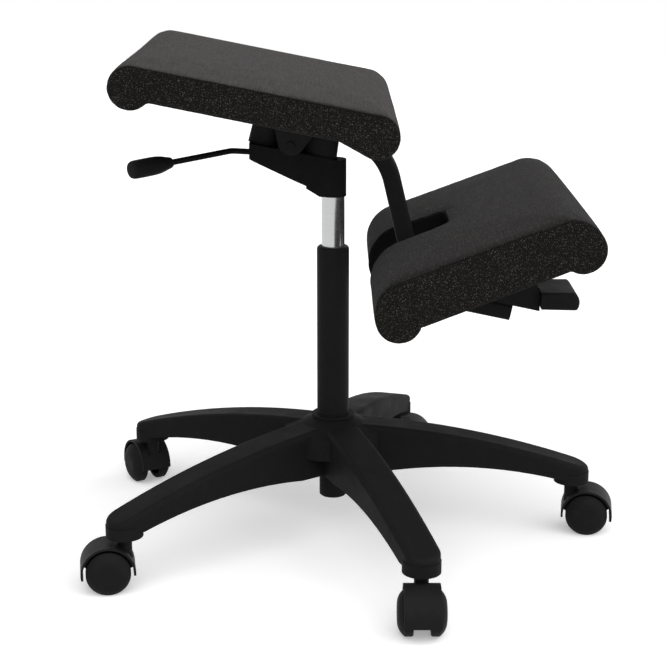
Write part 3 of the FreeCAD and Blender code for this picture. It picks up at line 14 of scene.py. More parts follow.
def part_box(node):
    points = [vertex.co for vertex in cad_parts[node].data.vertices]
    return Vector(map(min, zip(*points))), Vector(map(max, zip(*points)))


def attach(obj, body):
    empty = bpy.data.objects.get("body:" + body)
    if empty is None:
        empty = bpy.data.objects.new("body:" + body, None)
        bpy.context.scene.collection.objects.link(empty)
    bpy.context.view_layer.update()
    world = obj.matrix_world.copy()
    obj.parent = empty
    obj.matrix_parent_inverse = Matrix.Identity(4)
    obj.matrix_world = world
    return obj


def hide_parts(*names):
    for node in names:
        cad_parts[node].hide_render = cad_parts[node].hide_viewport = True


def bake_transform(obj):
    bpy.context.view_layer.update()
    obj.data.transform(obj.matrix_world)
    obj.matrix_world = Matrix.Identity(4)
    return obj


bl_info = {
    "name": "Kneeling chair looks",
    "version": (1, 0, 0),
    "blender": (4, 5, 0),
    "location": "View3D > Sidebar > Chair",
    "description": "Covers, finishes and studio for a kneeling chair",
    "category": "Object",
}

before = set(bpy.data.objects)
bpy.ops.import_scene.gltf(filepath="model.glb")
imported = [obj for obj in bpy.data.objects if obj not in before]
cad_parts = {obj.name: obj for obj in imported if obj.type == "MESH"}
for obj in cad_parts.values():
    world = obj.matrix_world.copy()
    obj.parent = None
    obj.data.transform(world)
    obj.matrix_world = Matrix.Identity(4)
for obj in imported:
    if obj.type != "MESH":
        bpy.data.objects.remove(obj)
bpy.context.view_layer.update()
CASTORS = range(1, 6)

# Edges that bend more than this stay sharp on a shaped piece, and are seams on a pad
SHARP_ANGLE = math.radians(40)
SEAM_ANGLE = math.radians(28)

# Buffers are cut into this many rings
BUFFER_RINGS = 8

# Plugs end this far inside the housing, whose holes are found within this many radii of the pin
PLUG_SUNK = 0.0002
RIM_REACH = 1.3

# Steps round the handle and the collar's lip
GRIP_STEPS = 48
BEAD_STEPS = 72

# The handle starts here on the lever's rod and runs on along it
GRIP_FOOT = Vector((-0.187, -0.0583, 0.4788))
GRIP_RUN = Vector((-0.066, -0.0583, -0.0047))

# The handle's outline: share of its length from the rod, share of its radius
GRIP_LINE = (
    (0.0, 0.0), (0.0, 0.42), (0.012, 0.52), (0.035, 0.59), (0.08, 0.65), (0.15, 0.74),
    (0.23, 0.85), (0.31, 0.93), (0.40, 0.98), (0.52, 1.0), (0.75, 1.0), (0.90, 0.985),
    (0.95, 0.95), (0.98, 0.88), (0.995, 0.77), (1.0, 0.62), (1.002, 0.3), (1.003, 0.0),
)

# A pad in its own axes: where its rear and front rolls start, the height of the rolls' middles,
# the rolls' radius on top, and the half width and front end of its slot
PadForm = namedtuple("PadForm", "rear front middle upper slot_half slot_end")
SEAT_FORM = PadForm(0.2215, 0.0465, 0.012, 0.0285, 0.0, 0.0)
KNEE_FORM = PadForm(0.0765, 0.137, 0.0165, 0.042, 0.07, 0.022)

# The slot's end wall is ahead of the first, and a cover lies on its board up to the second
SLOT_REAR = -0.02
BOARD_TOP = 0.0125

# Points of a solid this close are one, and a cover with fewer points has gone wrong
SAME_POINT = 2e-5
FEWEST_POINTS = 2000

# Seams: how far one is looked for, the share of a mesh step within which a point is drawn onto it,
# how much it is drawn, and how the cover is held along a seam while it is filled
SEAM_REACH = 0.012
SEAM_CATCH = 0.62
SEAM_PULL = 0.9
HELD_START = 1.4
HELD_RUN = 0.006

# Puckers in the cloth beside a seam
PUCKER_AWAY = 0.006
PUCKER_WIDTH = 0.004
PUCKER_HEIGHT = 0.0004
PUCKER_SCALE = 130.0

# A point is on a side panel where its normal's share across the pad passes the first of these, and upright
# where its share up the pad is below the first, and wholly so after a run of the second
SIDE_LEAN = 0.62
SIDE_RUN = 0.16
UPRIGHT_LEAN = 0.75
UPRIGHT_RUN = 0.2

# A face that leans across more than this takes the side panels' weave, which is moved from the wrapped panel's
PANEL_LEAN = 0.7
PANEL_SHIFT = (0.31, 0.17)

CLOTH_SETTINGS = {
    "quality": 5,
    "use_pressure": True,
    "vertex_group_mass": "held",
    "tension_stiffness": 25,
    "compression_stiffness": 25,
    "shear_stiffness": 12,
    "bending_stiffness": 4,
}

# Black finishes: colour setting, roughness, grains in a metre, depth of the grain, rubbed spots, gloss
Coat = namedtuple("Coat", "colour rough grain depth rub gloss")
COATS = {
    "Base plastic": Coat("plastic", 0.6, 1300.0, 0.0002, 0.3, 0.03),
    "Tube powder coat": Coat("paint", 0.55, 900.0, 0.0002, 0.2, 0.04),
    "Bush plastic": Coat("plastic", 0.5, 1500.0, 0.0001, 0.2, 0.05),
    "Black rubber": Coat("rubber", 0.75, 800.0, 0.0003, 0.25, 0.03),
    "Hood nylon": Coat("plastic", 0.5, 1600.0, 0.00015, 0.35, 0.05),
    "Wheel nylon": Coat("plastic", 0.55, 1200.0, 0.0002, 0.4, 0.04),
    "Mechanism coat": Coat("paint", 0.6, 1000.0, 0.0003, 0.3, 0.03),
    "Grip plastic": Coat("plastic", 0.55, 1500.0, 0.0002, 0.3, 0.04),
    "Bracket coat": Coat("bracket", 0.6, 1000.0, 0.0003, 0.3, 0.03),
    "Bar powder coat": Coat("paint", 0.55, 900.0, 0.0002, 0.25, 0.04),
}

# Metals: colour setting, roughness, marks in a metre of height, depth of the marks, how metallic it is
Plating = namedtuple("Plating", "colour rough line depth metallic")
METALS = {
    "Bright chrome": Plating("chrome", 0.2, 900.0, 0.00002, 0.92),
    "Plain steel": Plating("steel", 0.3, 700.0, 0.00005, 1.0),
}

# Directions from the chair to its two lamps, and half the floor's width
KEY_FROM = (0.05, -0.75, 1.0)
FILL_FROM = (1.0, -0.1, 0.45)
FLOOR_HALF = 6.0


# Properties that a user would change


def colour(name, description, default):
    """A colour setting."""
    return FloatVectorProperty(
        name=name, description=description, default=default, subtype="COLOR", size=3, min=0, max=1
    )


def length(name, description, default):
    """A length setting in metres."""
    return FloatProperty(
        name=name, description=description, default=default, unit="LENGTH", subtype="DISTANCE", precision=4
    )


def turn(name, description, degrees):
    """An angle setting, given in degrees."""
    return FloatProperty(
        name=name, description=description, default=math.radians(degrees), unit="ROTATION", subtype="ANGLE"
    )


def share(name, description, default):
    """A setting from nothing to all."""
    return FloatProperty(
        name=name, description=description, default=default, subtype="FACTOR", min=0, max=1
    )


class ChairFinishes(bpy.types.PropertyGroup):
    """Colours of the chair's materials"""

    # The tops' ground is far lighter than the side panels': partly a different yarn tone, partly a painted
    # sheen that stands in for the grazing sheen on the tops
    wool: colour("Wool", "Ground colour of the yarn on top of the seat", (0.0600, 0.0563, 0.0554))
    # Painted shade: the knee pad's ground is a darker copy of the seat's yarn, standing in for the dimmer
    # light on the knee pad and the seat's shadow over it
    wool_knee_painted_shade: colour("Knee wool", "Ground colour of the yarn on the knee pad", (0.0222, 0.0205, 0.0203))
    wool_side: colour("Side wool", "Ground colour of the yarn on the side panels", (0.0092, 0.0086, 0.0081))
    wool_pale: colour("Pale fibre", "Colour of the pale flecks in the yarn", (0.34, 0.315, 0.282))
    # The dark fibre's colour also paints the shade along the seams and on the slot's walls
    dark_fibre_and_shade: colour("Dark fibre", "Colour between the threads", (0.006, 0.0057, 0.0056))
    plastic: colour("Moulded plastic", "Base, castors and handles", (0.0098, 0.0098, 0.0099))
    paint: colour("Powder coat", "Tube, knee bar and sheet parts", (0.0098, 0.0098, 0.0099))
    bracket: colour("Bracket coat", "Ears under the seat", (0.0185, 0.0185, 0.0186))
    # Painted light: the rubber is lighter than the other blacks, so that the buffers under the seat look lit
    # where they sit in shade
    rubber: colour("Rubber", "Buffers and bump stop", (0.0185, 0.0185, 0.0185))
    chrome: colour("Chrome", "Gas lift cylinder", (0.48, 0.49, 0.488))
    steel: colour("Steel", "Pins, screws and axles", (0.42, 0.42, 0.43))
    birch: colour("Stained birch", "Plywood under the pads", (0.034, 0.028, 0.024))
    birch_line: colour("Birch line", "Darker growth lines in the plywood", (0.016, 0.013, 0.011))
    strands: share("Strands", "How much the pale strands on the tops stand out", 0.16)
    fleck_share: share("Flecks", "Share of stitches that show a pale fibre", 0.21)


class ChairCovers(bpy.types.PropertyGroup):
    """Filling, seams, weave and places of the two covers"""

    voxel: length("Mesh size", "Step of the finished cover's mesh", 0.0026)
    fill_step: length("Filling step", "Step of the mesh that is filled with foam", 0.0045)
    start_in: length("Start inside", "How far inside its solid a cover starts before it is filled", 0.0020)
    swell: length("Swell", "Furthest that the filling moves the cover", 0.0035)
    loft: length("Loft", "How far the filled cover stands out from its solid on average", 0.0003)
    pressure: FloatProperty(name="Filling", description="Pressure of the foam on the cover", default=4.0)
    frames: IntProperty(name="Frames", description="Steps of the filling", default=20, min=2)
    seam_depth: length("Seam depth", "How deep the seams pull in", 0.0011)
    seam_width: length("Seam width", "Half width of the dip beside a seam", 0.0015)
    thread: length("Thread", "Distance between two threads of the weave", 0.0006)
    seat_angle: turn("Seat slope", "Slope of the seat, nose down", 11.4)
    seat_rise: length("Seat height", "Underside of the seat cover on the column's axis", 0.5265)
    knee_angle: turn("Knee pad slope", "Slope of the knee pad, nose up", -21.4)
    knee_rise: length("Knee pad height", "Underside of the knee cover at its own middle", 0.341)
    knee_ahead: length("Knee pad ahead", "How far the knee pad's middle is ahead of the column", 0.150)


class ChairShapes(bpy.types.PropertyGroup):
    """Sizes of the shaped pieces"""

    grip_length: length("Handle length", "Height lever's handle from the rod to its end", 0.0575)
    grip_radius: length("Handle radius", "Height lever's handle at its widest", 0.0108)
    buffer_taper: share("Buffer taper", "Width of a buffer's top as a share of its foot", 0.93)
    bead_radius: length("Collar bead", "Radius of the rounded lip on the hub's collar", 0.0018)


class ChairStudio(bpy.types.PropertyGroup):
    """Floor, light and camera"""

    ground: colour("Floor", "Colour of the floor", (0.86, 0.86, 0.86))
    floor_lift: share("Floor lift", "How much whiter the floor looks than its light makes it", 0.3)
    ambient: FloatProperty(name="Room light", description="Light from all round", default=0.32)
    key: FloatProperty(name="Key light", description="Strength of the broad lamp above", default=1.95)
    fill: FloatProperty(name="Fill light", description="Strength of the front lamp", default=1.1)
    key_spread: turn("Lamp width", "How wide the lamps look from the chair", 78)
    lens: FloatProperty(name="Lens", description="Focal length in millimetres", default=89.28)
    camera_back: length("Camera distance", "How far the camera stands beside the chair", 1.9587)
    camera_rise: length("Camera height", "Height of the camera", 0.7847)
    aim_rise: length("Aim height", "Height of the point in the middle of the picture", 0.2584)


class ChairLooks(bpy.types.PropertyGroup):
    """All settings of the chair's looks"""

    finishes: PointerProperty(type=ChairFinishes)
    covers: PointerProperty(type=ChairCovers)
    shapes: PointerProperty(type=ChairShapes)
    studio: PointerProperty(type=ChairStudio)


# Small helpers for nodes


def put(tree, kind, sockets=None, **settings):
    """Adds a node, sets it up and links or fills its sockets."""
    node = tree.nodes.new(kind)
    for key, value in settings.items():
        setattr(node, key, value)
    for key, value in (sockets or {}).items():
        if isinstance(value, bpy.types.NodeSocket):
            tree.links.new(value, node.inputs[key])
        else:
            node.inputs[key].default_value = value
    return node


def calc(tree, operation, first, second=0.0, clamp=False):
    """One sum of two values."""
    node = put(tree, "ShaderNodeMath", {0: first, 1: second}, operation=operation, use_clamp=clamp)
    return node.outputs[0]


def between(tree, amount, first, second):
    """Mixes two colours."""
    return put(tree, "ShaderNodeMix", {0: amount, 6: first, 7: second}, data_type="RGBA").outputs[2]


def spread(tree, value, low, high, out_low, out_high):
    """Stretches a value from one range to another."""
    sockets = {"Value": value, "From Min": low, "From Max": high, "To Min": out_low, "To Max": out_high}
    return put(tree, "ShaderNodeMapRange", sockets).outputs[0]


def new_group(name, inputs, outputs):
    """An empty node group with named sockets, and its two ends."""
    group = bpy.data.node_groups.new(name, "ShaderNodeTree")
    for label, kind, default in inputs:
        socket = group.interface.new_socket(label, in_out="INPUT", socket_type="NodeSocket" + kind)
        if default is not None:
            socket.default_value = default
    for label, kind in outputs:
        group.interface.new_socket(label, in_out="OUTPUT", socket_type="NodeSocket" + kind)
    given = group.nodes.new("NodeGroupInput").outputs
    made = group.nodes.new("NodeGroupOutput").inputs
    return group, given, made


def noise_at(tree, where, scale, detail, **more):
    """A noise pattern, from nought to one."""
    sockets = {"Vector": where, "Scale": scale, "Detail": detail, **more}
    return put(tree, "ShaderNodeTexNoise", sockets).outputs[0]


def stretch(tree, where, scale):
    """Squeezes or stretches the place that a pattern reads."""
    return put(tree, "ShaderNodeMapping", {"Vector": where, "Scale": scale}).outputs[0]


def opaque(values):
    """A colour with nothing shining through."""
    return (*values, 1.0)


# Shared effects


def moulded_grain():
    """Fine spark-eroded grain, soft clouding and rubbed spots of a moulded or coated surface."""
    name = "Moulded grain"
    if name in bpy.data.node_groups:
        return bpy.data.node_groups[name]
    inputs = (
        ("Vector", "Vector", None),
        ("Colour", "Color", (0.01, 0.01, 0.01, 1)),
        ("Grain Size", "Float", 1400.0),
        ("Roughness", "Float", 0.5),
        ("Rub", "Float", 0.3),
    )
    outputs = (("Colour", "Color"), ("Roughness", "Float"), ("Height", "Float"))
    group, given, made = new_group(name, inputs, outputs)
    grain = noise_at(group, given["Vector"], given["Grain Size"], 2.0)
    cloud = noise_at(group, given["Vector"], 22.0, 4.0)
    rub = noise_at(group, given["Vector"], 75.0, 6.0, Roughness=0.7)
    paler = {"Value": 1.7, "Saturation": 0.9, "Color": given["Colour"]}
    pale = put(group, "ShaderNodeHueSaturation", paler).outputs["Color"]
    spots = calc(group, "MULTIPLY", spread(group, rub, 0.5, 0.72, 0.0, 1.0), given["Rub"])
    specks = calc(group, "MULTIPLY", spread(group, grain, 0.35, 0.7, 0.0, 1.0), 0.35)
    both = calc(group, "ADD", spots, specks, clamp=True)
    group.links.new(between(group, both, given["Colour"], pale), made["Colour"])
    shine = calc(group, "ADD", given["Roughness"], spread(group, cloud, 0.3, 0.7, -0.06, 0.06))
    shine = calc(group, "SUBTRACT", shine, calc(group, "MULTIPLY", spots, 0.12))
    group.links.new(shine, made["Roughness"])
    group.links.new(grain, made["Height"])
    return group


def wool_weave():
    """Plain weave of melange wool: ground yarn, pale flecks, dark gaps and the height of its threads."""
    name = "Wool weave"
    if name in bpy.data.node_groups:
        return bpy.data.node_groups[name]
    inputs = (
        ("Vector", "Vector", None),
        ("Threads", "Float", 770.0),
        ("Ground", "Color", (0.04, 0.04, 0.04, 1)),
        ("Pale", "Color", (0.3, 0.3, 0.3, 1)),
        ("Dark", "Color", (0.01, 0.01, 0.01, 1)),
        ("Flecks", "Float", 0.1),
        ("Strands", "Float", 0.0),
    )
    outputs = (("Colour", "Color"), ("Height", "Float"), ("Fuzz", "Float"))
    group, given, made = new_group(name, inputs, outputs)
    cloth = given["Vector"]

    # Threads run a little crooked and pass over and under each other
    bend = put(group, "ShaderNodeTexNoise", {"Vector": cloth, "Scale": 160.0, "Detail": 2.0})
    sway = {0: bend.outputs["Color"], 1: (0.0012, 0.0012, 0.0)}
    bent = put(group, "ShaderNodeVectorMath", sway, operation="MULTIPLY").outputs[0]
    moved = put(group, "ShaderNodeVectorMath", {0: cloth, 1: bent}, operation="ADD").outputs[0]
    counted = {0: moved, "Scale": given["Threads"]}
    threads = put(group, "ShaderNodeVectorMath", counted, operation="SCALE").outputs[0]
    across = put(group, "ShaderNodeSeparateXYZ", {0: threads}).outputs
    warp = calc(group, "ABSOLUTE", calc(group, "SINE", calc(group, "MULTIPLY", across[0], math.pi)))
    weft = calc(group, "ABSOLUTE", calc(group, "SINE", calc(group, "MULTIPLY", across[1], math.pi)))
    steps = calc(group, "ADD", calc(group, "FLOOR", across[0]), calc(group, "FLOOR", across[1]))
    over = calc(group, "PINGPONG", steps, 1.0)
    top = put(group, "ShaderNodeMix", {0: over, 2: warp, 3: weft}).outputs[0]
    low = put(group, "ShaderNodeMix", {0: over, 2: weft, 3: warp}).outputs[0]
    height = calc(group, "ADD", calc(group, "MULTIPLY", top, 0.75), calc(group, "MULTIPLY", low, 0.25))

    # Some stitches show a pale fibre, each as bright as it happens to be
    cell = put(group, "ShaderNodeVectorMath", {0: threads}, operation="FLOOR").outputs[0]
    stitch = put(group, "ShaderNodeTexWhiteNoise", {"Vector": cell}, noise_dimensions="2D").outputs
    fibre = noise_at(group, cloth, 1500.0, 3.0, Roughness=0.7)
    edge = calc(group, "SUBTRACT", 1.0, given["Flecks"])
    fleck = calc(group, "GREATER_THAN", stitch["Value"], edge)
    shine = put(group, "ShaderNodeSeparateColor", {0: stitch["Color"]}).outputs[1]
    fleck = calc(group, "MULTIPLY", fleck, spread(group, fibre, 0.38, 0.62, 0.15, 1.0))
    fleck = calc(group, "MULTIPLY", fleck, calc(group, "POWER", shine, 4.0))
    fleck = calc(group, "MULTIPLY", fleck, top, clamp=True)

    # The yarn varies along its length and is dark between the threads
    streak = noise_at(group, cloth, 55.0, 5.0)
    slub = noise_at(group, stretch(group, cloth, (420.0, 26.0, 1.0)), 1.0, 3.0)
    streaky = spread(group, streak, 0.3, 0.7, 0.9, 1.1)
    tone = calc(group, "MULTIPLY", streaky, spread(group, slub, 0.3, 0.7, 0.8, 1.2))
    ground = {"Value": tone, "Color": given["Ground"]}
    toned = put(group, "ShaderNodeHueSaturation", ground).outputs["Color"]
    gap = spread(group, height, 0.1, 0.6, 0.6, 0.0)
    yarn = between(group, gap, toned, given["Dark"])
    strand = noise_at(group, stretch(group, cloth, (950.0, 62.0, 1.0)), 1.0, 1.0)
    strand = calc(group, "MULTIPLY", spread(group, strand, 0.63, 0.76, 0.0, 1.0), given["Strands"])
    fleck = calc(group, "MAXIMUM", fleck, strand)
    group.links.new(between(group, fleck, yarn, given["Pale"]), made["Colour"])
    raised = calc(group, "ADD", height, calc(group, "MULTIPLY", fibre, 0.35))
    group.links.new(raised, made["Height"])
    group.links.new(spread(group, fibre, 0.3, 0.7, 0.78, 0.95), made["Fuzz"])
    return group


# Finishes


def new_material(name):
    """A material with only its output, ready for nodes."""
    material = bpy.data.materials.new(name)
    material.use_nodes = True
    material.node_tree.nodes.clear()
    return material, material.node_tree, put(material.node_tree, "ShaderNodeOutputMaterial")


def finish_surface(tree, end, sockets):
    """Ends a material in one principled surface."""
    shader = put(tree, "ShaderNodeBsdfPrincipled", sockets)
    tree.links.new(shader.outputs[0], end.inputs["Surface"])


def bumps(tree, strength, distance, height):
    """The normal of a surface with small bumps."""
    sockets = {"Strength": strength, "Distance": distance, "Height": height}
    return put(tree, "ShaderNodeBump", sockets).outputs[0]


def own_place(tree):
    """Where a point is on its piece."""
    return put(tree, "ShaderNodeTexCoord").outputs["Object"]


def mark(tree, name):
    """A mark that is stored in the mesh."""
    return put(tree, "ShaderNodeAttribute", attribute_name=name).outputs["Fac"]


def coated(name, finishes):
    """Black plastic, powder coat or rubber: one grain effect with its own values."""
    if name in bpy.data.materials:
        return bpy.data.materials[name]
    coat = COATS[name]
    material, tree, end = new_material(name)
    effect = put(tree, "ShaderNodeGroup", {
        "Vector": own_place(tree),
        "Colour": opaque(getattr(finishes, coat.colour)),
        "Grain Size": coat.grain,
        "Roughness": coat.rough,
        "Rub": coat.rub,
    }, node_tree=moulded_grain()).outputs
    finish_surface(tree, end, {
        "Base Color": effect["Colour"],
        "Roughness": effect["Roughness"],
        "Normal": bumps(tree, 0.5, coat.depth, effect["Height"]),
        "Specular IOR Level": coat.gloss,
    })
    return material


def metal(name, finishes):
    """Drawn or plated metal with fine marks round it."""
    if name in bpy.data.materials:
        return bpy.data.materials[name]
    plating = METALS[name]
    material, tree, end = new_material(name)
    where = own_place(tree)
    marks = noise_at(tree, stretch(tree, where, (60.0, 60.0, plating.line)), 1.0, 4.0)
    smear = noise_at(tree, where, 35.0, 5.0)
    worn = spread(tree, marks, 0.3, 0.7, plating.rough * 0.8, plating.rough * 1.3)
    shine = calc(tree, "ADD", worn, spread(tree, smear, 0.45, 0.75, 0.0, 0.05))
    tint = opaque(getattr(finishes, plating.colour))
    tone = between(tree, spread(tree, smear, 0.3, 0.8, 0.0, 0.12), tint, (0.5, 0.5, 0.51, 1))
    finish_surface(tree, end, {
        "Base Color": tone,
        "Metallic": plating.metallic,
        "Roughness": shine,
        "Normal": bumps(tree, 0.15, plating.depth, marks),
    })
    return material


def plywood(finishes):
    """Birch plywood, stained near black: long grain and pores."""
    name = "Birch plywood"
    if name in bpy.data.materials:
        return bpy.data.materials[name]
    material, tree, end = new_material(name)
    where = own_place(tree)
    lines = noise_at(tree, stretch(tree, where, (9.0, 70.0, 9.0)), 1.6, 6.0, Distortion=0.6)
    pore = noise_at(tree, stretch(tree, where, (80.0, 1600.0, 80.0)), 1.0, 2.0)
    mask = spread(tree, lines, 0.4, 0.66, 0.0, 1.0)
    dark = opaque(finishes.birch_line)
    tone = between(tree, mask, opaque(finishes.birch), dark)
    tone = between(tree, spread(tree, pore, 0.6, 0.8, 0.0, 0.5), tone, dark)
    finish_surface(tree, end, {
        "Base Color": tone,
        "Roughness": spread(tree, lines, 0.3, 0.7, 0.55, 0.7),
        "Normal": bumps(tree, 0.3, 0.0003, pore),
        "Specular IOR Level": 0.3,
    })
    return material


def wool_cover(name, ground, finishes, covers):
    """Melange wool of a pad: it reads the cover's own cloth map and its seam marks, and paints shade along the
    seams and on the slot's walls.
    """
    material, tree, end = new_material(name)
    side = mark(tree, "side_panel")
    # Dark fibre between the threads, and also the painted shade of the seams and the slot's walls
    dark = opaque(finishes.dark_fibre_and_shade)
    effect = put(tree, "ShaderNodeGroup", {
        "Vector": put(tree, "ShaderNodeUVMap", uv_map="Cloth").outputs[0],
        "Threads": 1.0 / covers.thread,
        # Tops take the lighter ground, which is partly painted sheen; side panels take the darker one
        "Ground": between(tree, side, opaque(ground), opaque(finishes.wool_side)),
        "Pale": opaque(finishes.wool_pale),
        "Dark": dark,
        "Flecks": spread(tree, side, 0.0, 1.0, finishes.fleck_share * 0.3, finishes.fleck_share),
        "Strands": spread(tree, side, 0.0, 1.0, finishes.strands, 0.0),
    }, node_tree=wool_weave()).outputs
    # Painted shade along the seams: the seam's groove goes almost to the dark fibre's colour
    line = calc(tree, "MULTIPLY", calc(tree, "POWER", mark(tree, "seam"), 2.0), 0.92)
    # Painted shade: the slot's walls go almost to the dark fibre's colour
    line = calc(tree, "MAXIMUM", line, calc(tree, "MULTIPLY", mark(tree, "slot_painted_shade"), 0.96))
    finish_surface(tree, end, {
        "Base Color": between(tree, line, effect["Colour"], dark),
        "Roughness": effect["Fuzz"],
        "Normal": bumps(tree, 0.55, 0.0005, effect["Height"]),
        "Specular IOR Level": 0.04,
        "Sheen Weight": 0.05,
        "Sheen Roughness": 0.45,
    })
    return material


def dress(node, material):
    """Gives a solid of the frame its finish."""
    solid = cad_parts[node]
    solid.data.materials.clear()
    solid.data.materials.append(material)


# Small helpers for meshes


def settle(piece):
    """Makes a piece's modifiers part of its mesh."""
    graph = bpy.context.evaluated_depsgraph_get()
    mesh = bpy.data.meshes.new_from_object(piece.evaluated_get(graph))
    old = piece.data
    piece.modifiers.clear()
    piece.data = mesh
    bpy.data.meshes.remove(old)


def points(mesh):
    """A mesh's vertices as rows of numbers."""
    rows = np.empty(len(mesh.vertices) * 3)
    mesh.vertices.foreach_get("co", rows)
    return rows.reshape(-1, 3)


def normals(mesh):
    """A mesh's vertex normals as rows of numbers."""
    rows = np.empty(len(mesh.vertices) * 3)
    mesh.vertex_normals.foreach_get("vector", rows)
    return rows.reshape(-1, 3)


def move_points(mesh, rows):
    """Puts a mesh's vertices where the rows say."""
    mesh.vertices.foreach_set("co", np.asarray(rows, dtype=np.float32).ravel())
    mesh.update()


# Shaped pieces


def new_piece(name, shape, material):
    """Puts a finished shape into the scene with its finish."""
    for edge in shape.edges:
        edge.smooth = edge.calc_face_angle(0) < SHARP_ANGLE
    mesh = bpy.data.meshes.new(name)
    shape.to_mesh(mesh)
    shape.free()
    mesh.shade_smooth()
    mesh.materials.append(material)
    piece = bpy.data.objects.new(name, mesh)
    bpy.context.scene.collection.objects.link(piece)
    return piece


def spin_round(shape, outline, steps):
    """Turns an outline once round the upright axis."""
    bmesh.ops.spin(
        shape, geom=outline, cent=(0, 0, 0), axis=(0, 0, 1), angle=math.tau, steps=steps, use_merge=True
    )


def shape_grip(shapes, material):
    """The lever's moulded handle: narrow at the rod, full over its outer half, with a rounded end."""
    shape = bmesh.new()
    line = []
    for along, wide in GRIP_LINE:
        line.append(shape.verts.new((shapes.grip_radius * wide, 0, shapes.grip_length * along)))
    edges = [shape.edges.new(pair) for pair in zip(line, line[1:])]
    spin_round(shape, line + edges, GRIP_STEPS)
    bmesh.ops.remove_doubles(shape, verts=shape.verts, dist=1e-5)
    bmesh.ops.recalc_face_normals(shape, faces=shape.faces)
    lean = Vector((0, 0, 1)).rotation_difference(GRIP_RUN).to_matrix().to_4x4()
    bmesh.ops.transform(shape, matrix=Matrix.Translation(GRIP_FOOT) @ lean, verts=shape.verts)
    grip = new_piece("lever_grip", shape, material)
    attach(grip, "lever")
    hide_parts("height_lever_handle")


def plug_pin_holes(material):
    """Small blind plugs that close the housing's two holes over the lever's pin."""
    low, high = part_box("lever_fulcrum_pin")
    middle = (Vector(low) + Vector(high)) / 2
    radius = (high[2] - low[2]) / 2
    walls = points(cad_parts["mechanism_housing"].data)
    beside = np.hypot(walls[:, 0] - middle.x, walls[:, 2] - middle.z) < radius * RIM_REACH
    rim = np.abs(walls[beside, 1])
    outside = np.min(rim[rim > high[1]]) - PLUG_SUNK
    shape = bmesh.new()
    for hand in (-1, 1):
        place = Matrix.Translation((middle.x, hand * (outside + high[1]) / 2, middle.z))
        bmesh.ops.create_cone(
            shape, cap_ends=True, segments=32, radius1=radius, radius2=radius, depth=outside - high[1],
            matrix=place @ Matrix.Rotation(math.pi / 2, 4, "X"),
        )
    plugs = new_piece("pin_plugs", shape, material)
    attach(plugs, "column")


def bead_collar(bead, material):
    """A rounded lip on the hub's collar, round the foot of the tube."""
    rows = points(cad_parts["five_star_base"].data)
    top = rows[:, 2].max()
    collar = np.hypot(rows[:, 0], rows[:, 1])[rows[:, 2] > top - bead].max()
    shape = bmesh.new()
    middle = Matrix.Translation((collar - bead / 2, 0, top - bead))
    upright = Matrix.Rotation(math.pi / 2, 4, "X")
    bmesh.ops.create_circle(shape, segments=16, radius=bead, matrix=middle @ upright)
    spin_round(shape, [*shape.verts, *shape.edges], BEAD_STEPS)
    bmesh.ops.recalc_face_normals(shape, faces=shape.faces)
    lip = new_piece("collar_bead", shape, material)
    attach(lip, "base")


def shape_buffer(node, name, slope, taper, material):
    """A round rubber buffer, tapered to its top, in place of the solid and cut into rings across its height.
    """
    rows = points(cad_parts[node].data)
    axes = Matrix.Rotation(slope, 4, "Y")
    rows = rows @ np.array(axes.to_3x3())
    low, high = Vector(rows.min(axis=0)), Vector(rows.max(axis=0))
    half = (high - low) / 2
    shape = bmesh.new()
    oval = Matrix.Diagonal((*half, 1))
    bmesh.ops.create_cone(
        shape, cap_ends=True, segments=56, radius1=1, radius2=taper, depth=2, matrix=oval
    )
    bmesh.ops.transform(shape, matrix=axes @ Matrix.Translation(low + half), verts=shape.verts)
    up = axes.to_3x3() @ Vector((0, 0, 1))
    for ring in range(1, BUFFER_RINGS):
        level = low.z + 2 * half.z * ring / BUFFER_RINGS
        every = [*shape.verts, *shape.edges, *shape.faces]
        bmesh.ops.bisect_plane(shape, geom=every, plane_co=up * level, plane_no=up)
    buffer = new_piece(name, shape, material)
    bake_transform(buffer)
    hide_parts(node)


# Padded covers


def even_cover(node, name, axes, voxel):
    """A fine even mesh over a soft solid in the pad's own axes, and the solid's seam lines."""
    shell = bmesh.new()
    shell.from_mesh(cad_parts[node].data)
    bmesh.ops.remove_doubles(shell, verts=shell.verts, dist=SAME_POINT)
    bmesh.ops.transform(shell, matrix=axes.inverted(), verts=shell.verts)
    seams = []
    for edge in shell.edges:
        if len(edge.link_faces) == 2 and edge.calc_face_angle(0) > SEAM_ANGLE:
            seams.append([list(end.co) for end in edge.verts])
    mesh = bpy.data.meshes.new(name)
    shell.to_mesh(mesh)
    shell.free()
    pad = bpy.data.objects.new(name, mesh)
    bpy.context.scene.collection.objects.link(pad)
    remesh = pad.modifiers.new("Even mesh", "REMESH")
    remesh.mode = "VOXEL"
    remesh.voxel_size = voxel
    settle(pad)
    if len(pad.data.vertices) < FEWEST_POINTS:
        raise RuntimeError(f"the cover of {node} has too few points")
    return pad, np.array(seams)


def seam_distance(rows, seams):
    """How far each point is from the nearest seam line, and the nearest spot on it."""
    nearest = np.full(len(rows), 1.0)
    spots = rows.copy()
    for first, last in seams:
        run = last - first
        low = np.minimum(first, last) - SEAM_REACH
        high = np.maximum(first, last) + SEAM_REACH
        close = np.all((rows > low) & (rows < high), axis=1)
        some = rows[close]
        along = np.clip(((some - first) @ run) / max(run @ run, 1e-12), 0, 1)
        spot = first + along[:, None] * run
        gap = np.linalg.norm(some - spot, axis=1)
        better = gap < nearest[close]
        index = np.flatnonzero(close)[better]
        nearest[index] = gap[better]
        spots[index] = spot[better]
    return nearest, spots


